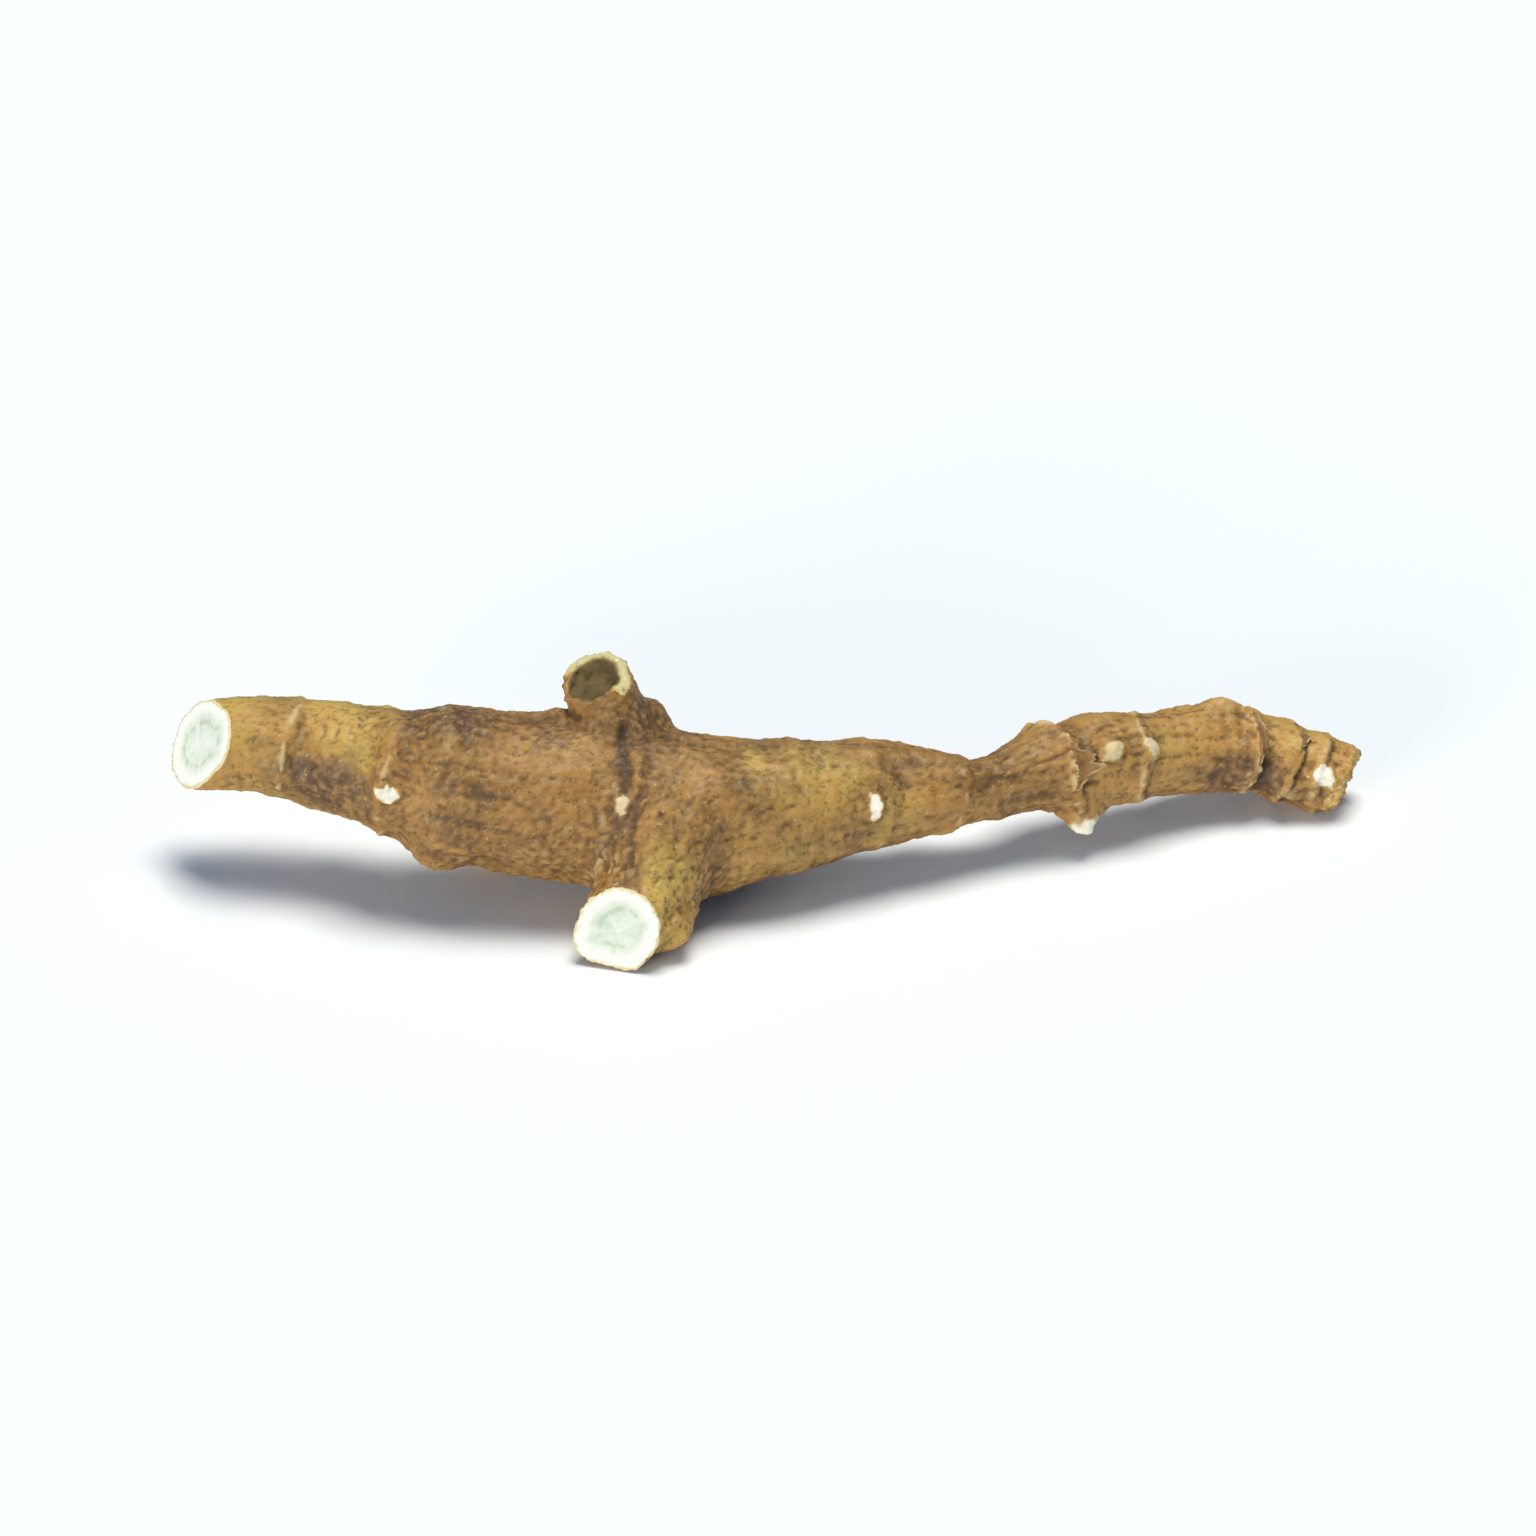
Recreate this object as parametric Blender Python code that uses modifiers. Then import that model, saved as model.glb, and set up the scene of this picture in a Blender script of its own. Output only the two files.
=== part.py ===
"""Dried anemone rhizome, one piece: a spindle-shaped rootstock with a swollen belly, ringed nodes
and a knobbly tail. A clean-cut branch stub points forwards, a broken hollow one points up, and a
root stub, the forward stub and the tail's tip carry it on the surface that it lies on.

X runs along the rhizome from its cut arm to its tail, Y points away from the forward stub, Z is up.
Lengths are in millimetres here and turned to metres where the shapes are made. A clock angle goes
round the rhizome in degrees: 0 on top, 90 at the front, 180 underneath and 270 at the back.
"""

import math

import bmesh
import bpy
import numpy as np
from mathutils import Vector, noise
from mathutils.kdtree import KDTree

MM = 0.001
NODE_NAME = "rhizome"

# The main axis: x, y, z of the centre and the thickness there, from beyond the cut arm to beyond
# the broken tip of the tail.
SPINE = (
    (-14.9, 0.42, 3.4, 2.1),
    (-13.4, 0.4, 3.3, 2.14),
    (-12.2, 0.42, 3.35, 2.32),
    (-10.6, 0.1, 3.21, 2.46),
    (-9.1, -0.34, 3.14, 2.88),
    (-7.9, -0.68, 3.02, 3.52),
    (-6.0, -0.74, 2.69, 3.86),
    (-3.9, -0.78, 2.41, 4.06),
    (-2.0, -0.82, 2.17, 3.82),
    (0.1, -0.52, 2.09, 3.32),
    (2.0, 0.06, 2.06, 2.7),
    (3.9, 0.48, 1.99, 1.98),
    (5.4, 0.96, 1.92, 1.52),
    (6.6, 1.6, 1.96, 2.08),
    (7.5, 2.02, 1.88, 2.3),
    (8.7, 2.52, 1.79, 2.04),
    (10.2, 3.18, 1.57, 1.98),
    (11.3, 3.5, 1.32, 2.0),
    (12.6, 3.44, 0.95, 1.92),
    (13.5, 3.2, 0.78, 1.56),
    (14.6, 2.95, 0.74, 1.2),
)
BODY_SIDES = 48
BODY_SPACING = 0.16
AXIS_SPACING = 0.02

# Stubs, bud, fin and spur, each from inside the body to its end: points, and the thickness at each.
FORWARD_STUB = (
    ((-2.1, -0.6, 2.3), (-2.5, -1.9, 1.95), (-3.0, -3.1, 1.32), (-3.54, -4.2, 0.93)),
    (4.0, 3.3, 2.3, 2.0),
)
SIDE_BUD = (
    ((-2.6, -2.2, 1.5), (-2.4, -3.1, 1.0), (-2.28, -3.7, 0.7), (-2.2, -4.05, 0.56)),
    (1.9, 1.5, 1.2, 0.85),
)
UPPER_STUB = (
    ((-3.2, -0.5, 3.0), (-3.5, -0.35, 4.0), (-3.87, -0.2, 4.8), (-4.12, -0.06, 5.34)),
    (2.8, 2.05, 1.7, 1.78),
)
FIN = (
    ((-3.05, -0.3, 3.2), (-3.0, -0.1, 3.9), (-2.95, 0.05, 4.4), (-2.92, 0.12, 4.76)),
    (1.8, 1.5, 1.35, 0.95),
)
ROOT_STUB = (
    ((-6.2, -0.4, 2.5), (-6.35, 0.3, 1.5), (-6.45, 0.65, 0.7), (-6.5, 0.8, 0.0)),
    (2.5, 1.75, 1.25, 1.0),
)
SPUR = (
    ((7.25, 1.8, 1.7), (7.35, 1.2, 1.15), (7.42, 0.9, 0.88), (7.46, 0.72, 0.72)),
    (1.7, 1.2, 0.75, 0.4),
)
CUT_GROWTHS = (FORWARD_STUB, UPPER_STUB, ROOT_STUB)
WHOLE_GROWTHS = (SIDE_BUD, FIN, SPUR)
GROWTH_SIDES = 28
GROWTH_SPACING = 0.14
OVERRUN = 0.45  # how far a cut stub first runs on past its cut
BLEND_REACH = 0.55  # how far from a stub's foot its fillet spreads

# Straight cuts and breaks: centre of the cut face, the way it faces, and a width that clears it.
ARM_CUT = ((-13.4, 0.4, 3.3), (-0.84, -0.37, 0.4), 4.0)
TAIL_BREAK = ((13.72, 3.14, 0.78), (0.9, -0.24, -0.3), 3.0)
FORWARD_CUT = (FORWARD_STUB[0][-1], (-0.26, -0.93, 0.22), 3.2)
UPPER_BREAK = (UPPER_STUB[0][-1], (-0.34, -0.3, 0.87), 2.6)
CUTS = (ARM_CUT, TAIL_BREAK, FORWARD_CUT, UPPER_BREAK)
HOLLOW_WIDTH = 1.16  # of the dish in the upper stub's broken end
HOLLOW_DEPTH = 0.42

# Rings left by scale leaves: x, ridge height, ridge width, lean, clock angle that the lean faces.
RINGS = (
    (-11.3, 0.08, 0.17, 0.2, 40),
    (-8.95, 0.12, 0.2, 0.28, 75),
    (-7.3, 0.04, 0.18, 0.25, 150),
    (-3.5, 0.11, 0.2, 0.1, 60),
    (0.35, 0.04, 0.2, 0.12, 30),
    (2.3, 0.07, 0.17, 0.25, 70),
    (4.3, 0.05, 0.15, 0.2, 20),
    (6.65, 0.16, 0.17, 0.18, 80),
    (8.75, 0.1, 0.15, 0.3, 250),
    (11.2, 0.17, 0.18, 0.18, 60),
    (12.2, 0.1, 0.14, 0.3, 60),
    (13.05, 0.08, 0.14, 0.2, 90),
)
RING_LIP = 0.6  # width of a ridge's steep side, against its stated width
CREASE_DEPTH = 0.6  # of the crease beyond a ridge, against the ridge's height
RING_SWAY = 0.07  # how far a ring wanders along the rhizome
RING_FADE = 0.45  # how much its height comes and goes round it

# Warts where fine roots broke off: x, clock angle, height, radius.
ROOT_SCARS = (
    (-8.45, 78, 0.18, 0.3),
    (-3.5, 58, 0.16, 0.24),
    (2.15, 70, 0.2, 0.27),
    (13.3, 62, 0.16, 0.28),
    (7.7, 48, 0.22, 0.27),
    (8.65, 56, 0.16, 0.22),
    (-5.1, -18, 0.2, 0.3),
    (-7.5, 138, 0.2, 0.42),
    (10.6, -12, 0.34, 0.36),
    (12.5, 100, 0.14, 0.26),
    (-10.2, 245, 0.2, 0.3),
    (-1.0, 290, 0.26, 0.36),
    (0.9, 225, 0.2, 0.32),
    (3.6, 262, 0.2, 0.28),
    (-6.9, 300, 0.2, 0.34),
    (9.9, 215, 0.2, 0.26),
)
WART_PATCH = (-3.4, 100, 2.2, 26, 15)  # middle x, middle clock angle, half length, half angle, count
WART_HEIGHT = 0.1
WART_RADIUS = 0.19
SEED = 27

# Dried skin: broad lumps, and shrinkage wrinkles that run lengthwise.
LUMP_HEIGHT = 0.13
LUMP_SPACING = 1.3
WRINKLE_DEPTH = 0.075
WRINKLE_SPACING = 0.42
WRINKLE_STRETCH = 5.0

VOXEL = 0.085
BLEND_ROUNDS = 26
TRIANGLES = 11000

# Colours of the dry skin, the starchy flesh where it is cut, and the dark pith of the hollow.
SKIN_COLOUR = (0.29, 0.165, 0.06, 1.0)
FLESH_COLOUR = (0.79, 0.8, 0.66, 1.0)
PITH_COLOUR = (0.13, 0.085, 0.04, 1.0)


def clear_scene():
    """Removes the objects that the file opened with."""
    for old in list(bpy.data.objects):
        bpy.data.objects.remove(old, do_unlink=True)


def make_material(name, colour, roughness):
    """A plain dielectric of that colour."""
    material = bpy.data.materials.new(name)
    material.use_nodes = True
    shader = material.node_tree.nodes["Principled BSDF"]
    shader.inputs["Base Color"].default_value = colour
    shader.inputs["Roughness"].default_value = roughness
    shader.inputs["Metallic"].default_value = 0.0
    material.diffuse_color = colour
    return material


def make_collection(name):
    """A new collection in the scene."""
    made = bpy.data.collections.new(name)
    bpy.context.scene.collection.children.link(made)
    return made


def link_mesh(name, mesh, collection, material):
    """A new object for the mesh, in that collection and of that material."""
    mesh.materials.clear()
    mesh.materials.append(material)
    made = bpy.data.objects.new(name, mesh)
    collection.objects.link(made)
    return made


def smooth_through(knots, values, at):
    """Rows of values at the positions `at`, on a cubic curve through (knots, values)."""
    slopes = np.gradient(values, knots, axis=0)
    i = np.clip(np.searchsorted(knots, at) - 1, 0, len(knots) - 2)
    span = (knots[i + 1] - knots[i])[:, None]
    t = (at - knots[i])[:, None] / span
    start = (2 * t**3 - 3 * t**2 + 1) * values[i] + (t**3 - 2 * t**2 + t) * span * slopes[i]
    end = (3 * t**2 - 2 * t**3) * values[i + 1] + (t**3 - t**2) * span * slopes[i + 1]
    return start + end


def stations_on(points, thicknesses, spacing, overrun=0.0):
    """Rows of x, y, z and thickness at even steps along a smooth line, run on past its end."""
    points = np.array(points, float)
    thicknesses = np.array(thicknesses, float)
    if overrun:
        ahead = points[-1] - points[-2]
        points = np.vstack([points, points[-1] + ahead / np.linalg.norm(ahead) * overrun])
        thicknesses = np.append(thicknesses, thicknesses[-1])
    knots = np.append(0.0, np.cumsum(np.linalg.norm(np.diff(points, axis=0), axis=1)))
    at = np.linspace(0.0, knots[-1], int(knots[-1] / spacing) + 2)
    return smooth_through(knots, np.column_stack([points, thicknesses]), at)


def tube(name, stations, sides):
    """A closed round tube through the stations, as thick at each as it states."""
    data = bpy.data.curves.new(name, "CURVE")
    data.dimensions = "3D"
    data.bevel_depth = MM
    data.bevel_resolution = (sides - 4) // 2
    data.use_fill_caps = True
    spline = data.splines.new("POLY")
    spline.points.add(len(stations) - 1)
    for target, (x, y, z, thickness) in zip(spline.points, stations):
        target.co = (x * MM, y * MM, z * MM, 1.0)
        target.radius = thickness / 2
    guide = bpy.data.objects.new(name, data)
    bpy.context.scene.collection.objects.link(guide)
    bpy.context.view_layer.update()
    mesh = bpy.data.meshes.new_from_object(guide.evaluated_get(bpy.context.evaluated_depsgraph_get()))
    bpy.data.objects.remove(guide, do_unlink=True)
    bm = bmesh.new()
    bm.from_mesh(mesh)
    bmesh.ops.remove_doubles(bm, verts=bm.verts, dist=0.001 * MM)
    bmesh.ops.recalc_face_normals(bm, faces=bm.faces)
    bm.to_mesh(mesh)
    bm.free()
    return mesh


def apply_modifiers(target):
    """Replaces the object's mesh by what its modifiers make of it."""
    bpy.context.view_layer.update()
    graph = bpy.context.evaluated_depsgraph_get()
    mesh = bpy.data.meshes.new_from_object(target.evaluated_get(graph))
    target.modifiers.clear()
    target.data = mesh


def points_of(mesh):
    """The mesh's vertices in millimetres."""
    flat = np.empty(len(mesh.vertices) * 3, np.float32)
    mesh.vertices.foreach_get("co", flat)
    return flat.reshape(-1, 3).astype(float) / MM


def nearest_on(stations, skin):
    """For each point of the skin, the index of the nearest station."""
    tree = KDTree(len(stations))
    for index, station in enumerate(stations):
        tree.insert(station[:3], index)
    tree.balance()
    return np.array([tree.find(point)[1] for point in skin])


def depth_outside(stations, skin):
    """How far each point of the skin lies outside the round tube through the stations."""
    nearest = stations[nearest_on(stations, skin)]
    return np.linalg.norm(skin - nearest[:, :3], axis=1) - nearest[:, 3] / 2


def clock_and_radius(axis, nearest, skin):
    """The clock angle of each point of the skin round the axis, in radians, and its distance."""
    along = np.gradient(axis[:, :3], axis=0)[nearest]
    along /= np.linalg.norm(along, axis=1, keepdims=True)
    up = np.array([0.0, 0.0, 1.0]) - along[:, 2:3] * along
    up /= np.linalg.norm(up, axis=1, keepdims=True)
    front = np.cross(along, up)
    out = skin - axis[nearest, :3]
    clock = np.arctan2((out * front).sum(axis=1), (out * up).sum(axis=1))
    return clock, np.linalg.norm(out, axis=1)


def ring_relief(x, clock, radius):
    """Height of the leaf-scar ridges and of the crease beyond each."""
    height = np.zeros_like(x)
    for ring_x, ridge, width, lean, faces in RINGS:
        sway = RING_SWAY * np.sin(3 * clock + 2 * ring_x)
        offset = x - ring_x - sway - lean * radius * np.cos(clock - math.radians(faces))
        side = np.where(offset > 0, width * RING_LIP, width * 1.3)
        rise = ridge * (1.0 + RING_FADE * np.sin(2 * clock + 5 * ring_x))
        height += rise * np.exp(-((offset / side) ** 2))
        height -= rise * CREASE_DEPTH * np.exp(-((offset / width - 1.8) ** 2))
    return height


def wart_places():
    """Every root scar, with the seeded patch of small warts round the forward stub."""
    random = np.random.default_rng(SEED)
    middle_x, middle_clock, half_length, half_angle, count = WART_PATCH
    places = list(ROOT_SCARS)
    for _ in range(count):
        x = middle_x + half_length * random.uniform(-1, 1)
        clock = middle_clock + half_angle * random.uniform(-1, 1)
        size = random.uniform(0.7, 1.3)
        places.append((x, clock, WART_HEIGHT * size, WART_RADIUS * size))
    return places


def wart_relief(x, clock, radius):
    """Height of the warts."""
    height = np.zeros_like(x)
    for wart_x, wart_clock, tall, wide in wart_places():
        turn = np.angle(np.exp(1j * (clock - math.radians(wart_clock))))
        height += tall * np.exp(-(np.hypot(x - wart_x, turn * radius) / wide) ** 2)
    return height


def skin_noise(skin, x, clock, radius):
    """Broad lumps, and wrinkles drawn out along the rhizome."""
    across = np.column_stack([np.cos(clock), np.sin(clock)]) * (radius / WRINKLE_SPACING)[:, None]
    along = x / (WRINKLE_SPACING * WRINKLE_STRETCH)
    height = np.empty(len(skin))
    for i, point in enumerate(skin):
        lump = noise.noise(Vector(point) / LUMP_SPACING)
        wrinkle = noise.noise(Vector((along[i], *across[i])))
        height[i] = LUMP_HEIGHT * lump + WRINKLE_DEPTH * wrinkle
    return height


def blend_feet(rhizome, axis, growth_axes):
    """Smooths the creases where the stubs leave the body, as grown wood flares there."""
    skin = points_of(rhizome.data)
    from_body = depth_outside(axis, skin)
    weight = np.zeros(len(skin))
    for growth_axis in growth_axes:
        apart = np.hypot(from_body, depth_outside(growth_axis, skin))
        weight = np.maximum(weight, np.clip(1.5 - apart / BLEND_REACH, 0.0, 1.0))
    group = rhizome.vertex_groups.new(name="feet")
    for index in np.flatnonzero(weight):
        group.add([int(index)], float(weight[index]), "REPLACE")
    blend = rhizome.modifiers.new("Blend feet", "SMOOTH")
    blend.vertex_group = group.name
    blend.factor = 0.5
    blend.iterations = BLEND_ROUNDS
    apply_modifiers(rhizome)
    rhizome.vertex_groups.clear()


def raise_relief(rhizome, axis, growth_axes):
    """Moves the skin out and in along its normals by the rings, warts, lumps and wrinkles."""
    mesh = rhizome.data
    skin = points_of(mesh)
    nearest = nearest_on(axis, skin)
    x = axis[nearest, 0]
    clock, radius = clock_and_radius(axis, nearest, skin)
    on_body = np.ones(len(skin))
    for growth_axis in growth_axes:
        on_body = np.minimum(on_body, np.clip(depth_outside(growth_axis, skin) / 0.3, 0.0, 1.0))
    height = (ring_relief(x, clock, radius) + wart_relief(x, clock, radius)) * on_body
    height += skin_noise(skin, x, clock, radius)
    normals = np.empty(len(skin) * 3, np.float32)
    mesh.vertex_normals.foreach_get("vector", normals)
    raised = skin + normals.reshape(-1, 3) * height[:, None]
    mesh.vertices.foreach_set("co", (raised * MM).astype(np.float32).ravel())
    mesh.update()


def block_below(name, centre, faces, width, collection, material):
    """A cube whose one face lies in a plane at the centre, standing on the side that it faces."""
    mesh = bpy.data.meshes.new(name)
    bm = bmesh.new()
    bmesh.ops.create_cube(bm, size=width * MM)
    bmesh.ops.translate(bm, verts=bm.verts, vec=(0.0, 0.0, width / 2 * MM))
    turn = Vector(faces).normalized().to_track_quat("Z", "Y")
    bmesh.ops.rotate(bm, verts=bm.verts, matrix=turn.to_matrix())
    bmesh.ops.translate(bm, verts=bm.verts, vec=Vector(centre) * MM)
    bm.to_mesh(mesh)
    bm.free()
    return link_mesh(name, mesh, collection, material)


def make_hollow_cutter(collection, material):
    """A flattened ball that dishes the broken end of the upper stub."""
    centre, faces, _ = UPPER_BREAK
    mesh = bpy.data.meshes.new("hollow")
    bm = bmesh.new()
    bmesh.ops.create_uvsphere(bm, u_segments=20, v_segments=12, radius=HOLLOW_WIDTH / 2 * MM)
    bmesh.ops.scale(bm, verts=bm.verts, vec=(1.0, 1.0, HOLLOW_DEPTH / (HOLLOW_WIDTH / 2)))
    turn = Vector(faces).normalized().to_track_quat("Z", "Y")
    bmesh.ops.rotate(bm, verts=bm.verts, matrix=turn.to_matrix())
    bmesh.ops.translate(bm, verts=bm.verts, vec=Vector(centre) * MM)
    bm.to_mesh(mesh)
    bm.free()
    return link_mesh("hollow", mesh, collection, material)


def make_cutters(collection, skin, flesh, pith):
    """The planes of the cuts and breaks, the hollow, and the surface that flattens the low points."""
    for number, (centre, faces, width) in enumerate(CUTS):
        block_below(f"cut_{number}", centre, faces, width, collection, flesh)
    make_hollow_cutter(collection, pith)
    block_below("surface", (0.0, 0.0, 0.0), (0.0, 0.0, -1.0), 40.0, collection, skin)
    for cutter in collection.objects:
        cutter.hide_render = True
        cutter.display_type = "WIRE"


def add_boolean(target, operation, collection):
    """Adds an exact Boolean with every object of the collection."""
    modifier = target.modifiers.new(operation.title(), "BOOLEAN")
    modifier.operation = operation
    modifier.solver = "EXACT"
    modifier.operand_type = "COLLECTION"
    modifier.collection = collection
    modifier.material_mode = "TRANSFER"


def grow_body(collection, material):
    """The spindle and its stubs, joined and evened out in one skin with smooth feet and relief."""
    spine = np.array(SPINE)
    axis = stations_on(spine[:, :3], spine[:, 3], AXIS_SPACING)
    growths = [(growth, OVERRUN) for growth in CUT_GROWTHS]
    growths += [(growth, 0.0) for growth in WHOLE_GROWTHS]
    growth_axes = [stations_on(*growth, AXIS_SPACING, overrun) for growth, overrun in growths]
    body = stations_on(spine[:, :3], spine[:, 3], BODY_SPACING)
    rhizome = link_mesh(NODE_NAME, tube(NODE_NAME, body, BODY_SIDES), collection, material)

    stubs = make_collection("stubs")
    for number, (growth, overrun) in enumerate(growths):
        name = f"stub_{number}"
        stations = stations_on(*growth, GROWTH_SPACING, overrun)
        link_mesh(name, tube(name, stations, GROWTH_SIDES), stubs, material)
    add_boolean(rhizome, "UNION", stubs)
    remesh = rhizome.modifiers.new("Even skin", "REMESH")
    remesh.mode = "VOXEL"
    remesh.voxel_size = VOXEL * MM
    apply_modifiers(rhizome)
    for stub in list(stubs.objects):
        bpy.data.objects.remove(stub, do_unlink=True)
    bpy.data.collections.remove(stubs)

    blend_feet(rhizome, axis, growth_axes)
    raise_relief(rhizome, axis, growth_axes)
    return rhizome


def thin_out(rhizome):
    """Keeps the triangles where the skin bends most."""
    triangles = sum(len(face.vertices) - 2 for face in rhizome.data.polygons)
    thin = rhizome.modifiers.new("Thin out", "DECIMATE")
    thin.ratio = min(1.0, TRIANGLES / triangles)
    apply_modifiers(rhizome)


def centre_on_base(rhizome, cutters):
    """Puts the middle of the rhizome's base on the origin."""
    points = points_of(rhizome.data)
    low, high = points.min(axis=0), points.max(axis=0)
    shift = Vector((-(low[0] + high[0]) / 2, -(low[1] + high[1]) / 2, -low[2])) * MM
    for vertex in rhizome.data.vertices:
        vertex.co += shift
    for cutter in cutters.objects:
        cutter.location = shift


def main():
    clear_scene()
    rhizome_parts = make_collection("anemone_rhizome")
    cutters = make_collection("cutters")
    skin = make_material("dry_skin", SKIN_COLOUR, 0.55)
    flesh = make_material("cut_flesh", FLESH_COLOUR, 0.75)
    pith = make_material("broken_pith", PITH_COLOUR, 0.85)

    rhizome = grow_body(rhizome_parts, skin)
    thin_out(rhizome)
    make_cutters(cutters, skin, flesh, pith)
    add_boolean(rhizome, "DIFFERENCE", cutters)
    apply_modifiers(rhizome)
    centre_on_base(rhizome, cutters)
    rhizome.data.shade_smooth()
    rhizome.data.set_sharp_from_angle(angle=math.radians(50))


main()
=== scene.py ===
"""Dried anemone rhizome: its bark, cut flesh, broken pith and leaf rests, on a white table.

The fine skin starts as an even copy of the CAD solid, so it keeps that form. Lengths in the tables
are millimetres, and X runs along the rhizome from its cut arm to its tail. A clock angle goes round
a stem in degrees: 0 on top, 90 at the front, 180 underneath and 270 at the back.
"""

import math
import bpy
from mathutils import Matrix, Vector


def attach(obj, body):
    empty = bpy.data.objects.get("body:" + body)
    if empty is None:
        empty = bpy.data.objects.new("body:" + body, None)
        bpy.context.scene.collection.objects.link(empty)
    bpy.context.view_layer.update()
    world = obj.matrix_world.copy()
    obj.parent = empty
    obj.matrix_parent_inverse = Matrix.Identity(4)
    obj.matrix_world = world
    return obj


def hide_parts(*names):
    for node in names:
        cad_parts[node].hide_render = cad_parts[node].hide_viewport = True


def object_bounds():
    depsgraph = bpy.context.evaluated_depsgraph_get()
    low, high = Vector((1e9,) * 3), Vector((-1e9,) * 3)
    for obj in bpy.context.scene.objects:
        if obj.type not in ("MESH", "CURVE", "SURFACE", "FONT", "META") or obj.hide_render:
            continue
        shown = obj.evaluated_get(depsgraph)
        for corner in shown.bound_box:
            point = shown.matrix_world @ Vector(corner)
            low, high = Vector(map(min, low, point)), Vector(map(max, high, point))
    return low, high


bl_info = {
    "name": "Dried Anemone Rhizome",
    "version": (1, 0, 0),
    "blender": (4, 5, 0),
    "location": "3D View > Sidebar > Rhizome",
    "description": "Dresses the solid of a dried anemone rhizome in bark, cut flesh and leaf rests",
    "category": "Object",
}

import bmesh
import bpy
import numpy as np
from bpy.props import FloatProperty, FloatVectorProperty, PointerProperty
from mathutils import Vector, noise
from mathutils.bvhtree import BVHTree
from mathutils.kdtree import KDTree

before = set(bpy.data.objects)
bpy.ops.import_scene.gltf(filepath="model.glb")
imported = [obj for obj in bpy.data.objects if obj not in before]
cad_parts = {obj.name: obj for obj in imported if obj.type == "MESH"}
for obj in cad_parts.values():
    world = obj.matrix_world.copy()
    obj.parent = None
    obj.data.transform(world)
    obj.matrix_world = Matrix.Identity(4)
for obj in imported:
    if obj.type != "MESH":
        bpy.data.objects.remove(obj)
CAD_LOW, CAD_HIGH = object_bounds()

MM = 0.001
NODE = "rhizome"

# Where the point that the stems' numbers start from lies, seen from the middle of the base.
DRAWN_FROM = np.array([0.032, -0.045, 0.0])

# Middle line of the rhizome: x, y, z and thickness, from beyond the cut arm to beyond the tail's tip.
SPINE = (
    (-14.9, 0.42, 3.4, 2.1),
    (-13.4, 0.4, 3.3, 2.14),
    (-12.2, 0.42, 3.35, 2.32),
    (-10.6, 0.1, 3.21, 2.46),
    (-9.1, -0.34, 3.14, 2.88),
    (-7.9, -0.68, 3.02, 3.52),
    (-6.0, -0.74, 2.69, 3.86),
    (-3.9, -0.78, 2.41, 4.06),
    (-2.0, -0.82, 2.17, 3.82),
    (0.1, -0.52, 2.09, 3.32),
    (2.0, 0.06, 2.06, 2.7),
    (3.9, 0.48, 1.99, 1.98),
    (5.4, 0.96, 1.92, 1.52),
    (6.6, 1.6, 1.96, 2.08),
    (7.5, 2.02, 1.88, 2.3),
    (8.7, 2.52, 1.79, 2.04),
    (10.2, 3.18, 1.57, 1.98),
    (11.3, 3.5, 1.32, 2.0),
    (12.6, 3.44, 0.95, 1.92),
    (13.5, 3.2, 0.78, 1.56),
    (14.6, 2.95, 0.74, 1.2),
)

# Middle lines of the growths on it, from inside the body to their ends.
FORWARD_STUB = (
    (-2.1, -0.6, 2.3, 4.0),
    (-2.5, -1.9, 1.95, 3.3),
    (-3.0, -3.1, 1.32, 2.3),
    (-3.54, -4.2, 0.93, 2.0),
)
SIDE_BUD = (
    (-2.6, -2.2, 1.5, 1.9),
    (-2.4, -3.1, 1.0, 1.5),
    (-2.28, -3.7, 0.7, 1.2),
    (-2.2, -4.05, 0.56, 0.85),
)
UPPER_STUB = (
    (-3.2, -0.5, 3.0, 2.8),
    (-3.5, -0.35, 4.0, 2.05),
    (-3.87, -0.2, 4.8, 1.7),
    (-4.12, -0.06, 5.34, 1.78),
)
FIN = (
    (-3.05, -0.3, 3.2, 1.8),
    (-3.0, -0.1, 3.9, 1.5),
    (-2.95, 0.05, 4.4, 1.35),
    (-2.92, 0.12, 4.76, 0.95),
)
ROOT_STUB = (
    (-6.2, -0.4, 2.5, 2.5),
    (-6.35, 0.3, 1.5, 1.75),
    (-6.45, 0.65, 0.7, 1.25),
    (-6.5, 0.8, 0.0, 1.0),
)
SPUR = (
    (7.25, 1.8, 1.7, 1.7),
    (7.35, 1.2, 1.15, 1.2),
    (7.42, 0.9, 0.88, 0.75),
    (7.46, 0.72, 0.72, 0.4),
)
STEMS = (SPINE, FORWARD_STUB, SIDE_BUD, UPPER_STUB, FIN, ROOT_STUB, SPUR)
BODY, FORWARD, BUD, UPPER, CREST, ROOT, SPUR_STEM = range(len(STEMS))
STATION_STEP = 0.02  # between the points that stand for a middle line
FAR = 9.0  # further than anything on the rhizome is from its own stem

# Cut and broken faces: middle of the face, the way it faces, and how far its outline can reach.
ARM_CUT = ((-13.4, 0.4, 3.3), (-0.84, -0.37, 0.4), 1.5)
FORWARD_CUT = ((-3.54, -4.2, 0.93), (-0.26, -0.93, 0.22), 1.35)
ROOT_CUT = ((-6.5, 0.8, 0.0), (0.0, 0.0, -1.0), 0.75)
UPPER_BREAK = ((-4.12, -0.06, 5.34), (-0.34, -0.3, 0.87), 1.15)
TAIL_BREAK = ((13.72, 3.14, 0.78), (0.9, -0.24, -0.3), 1.4)
SPUR_TIP = ((7.46, 0.72, 0.72), (0.2, -0.7, -0.68), 0.4)

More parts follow.
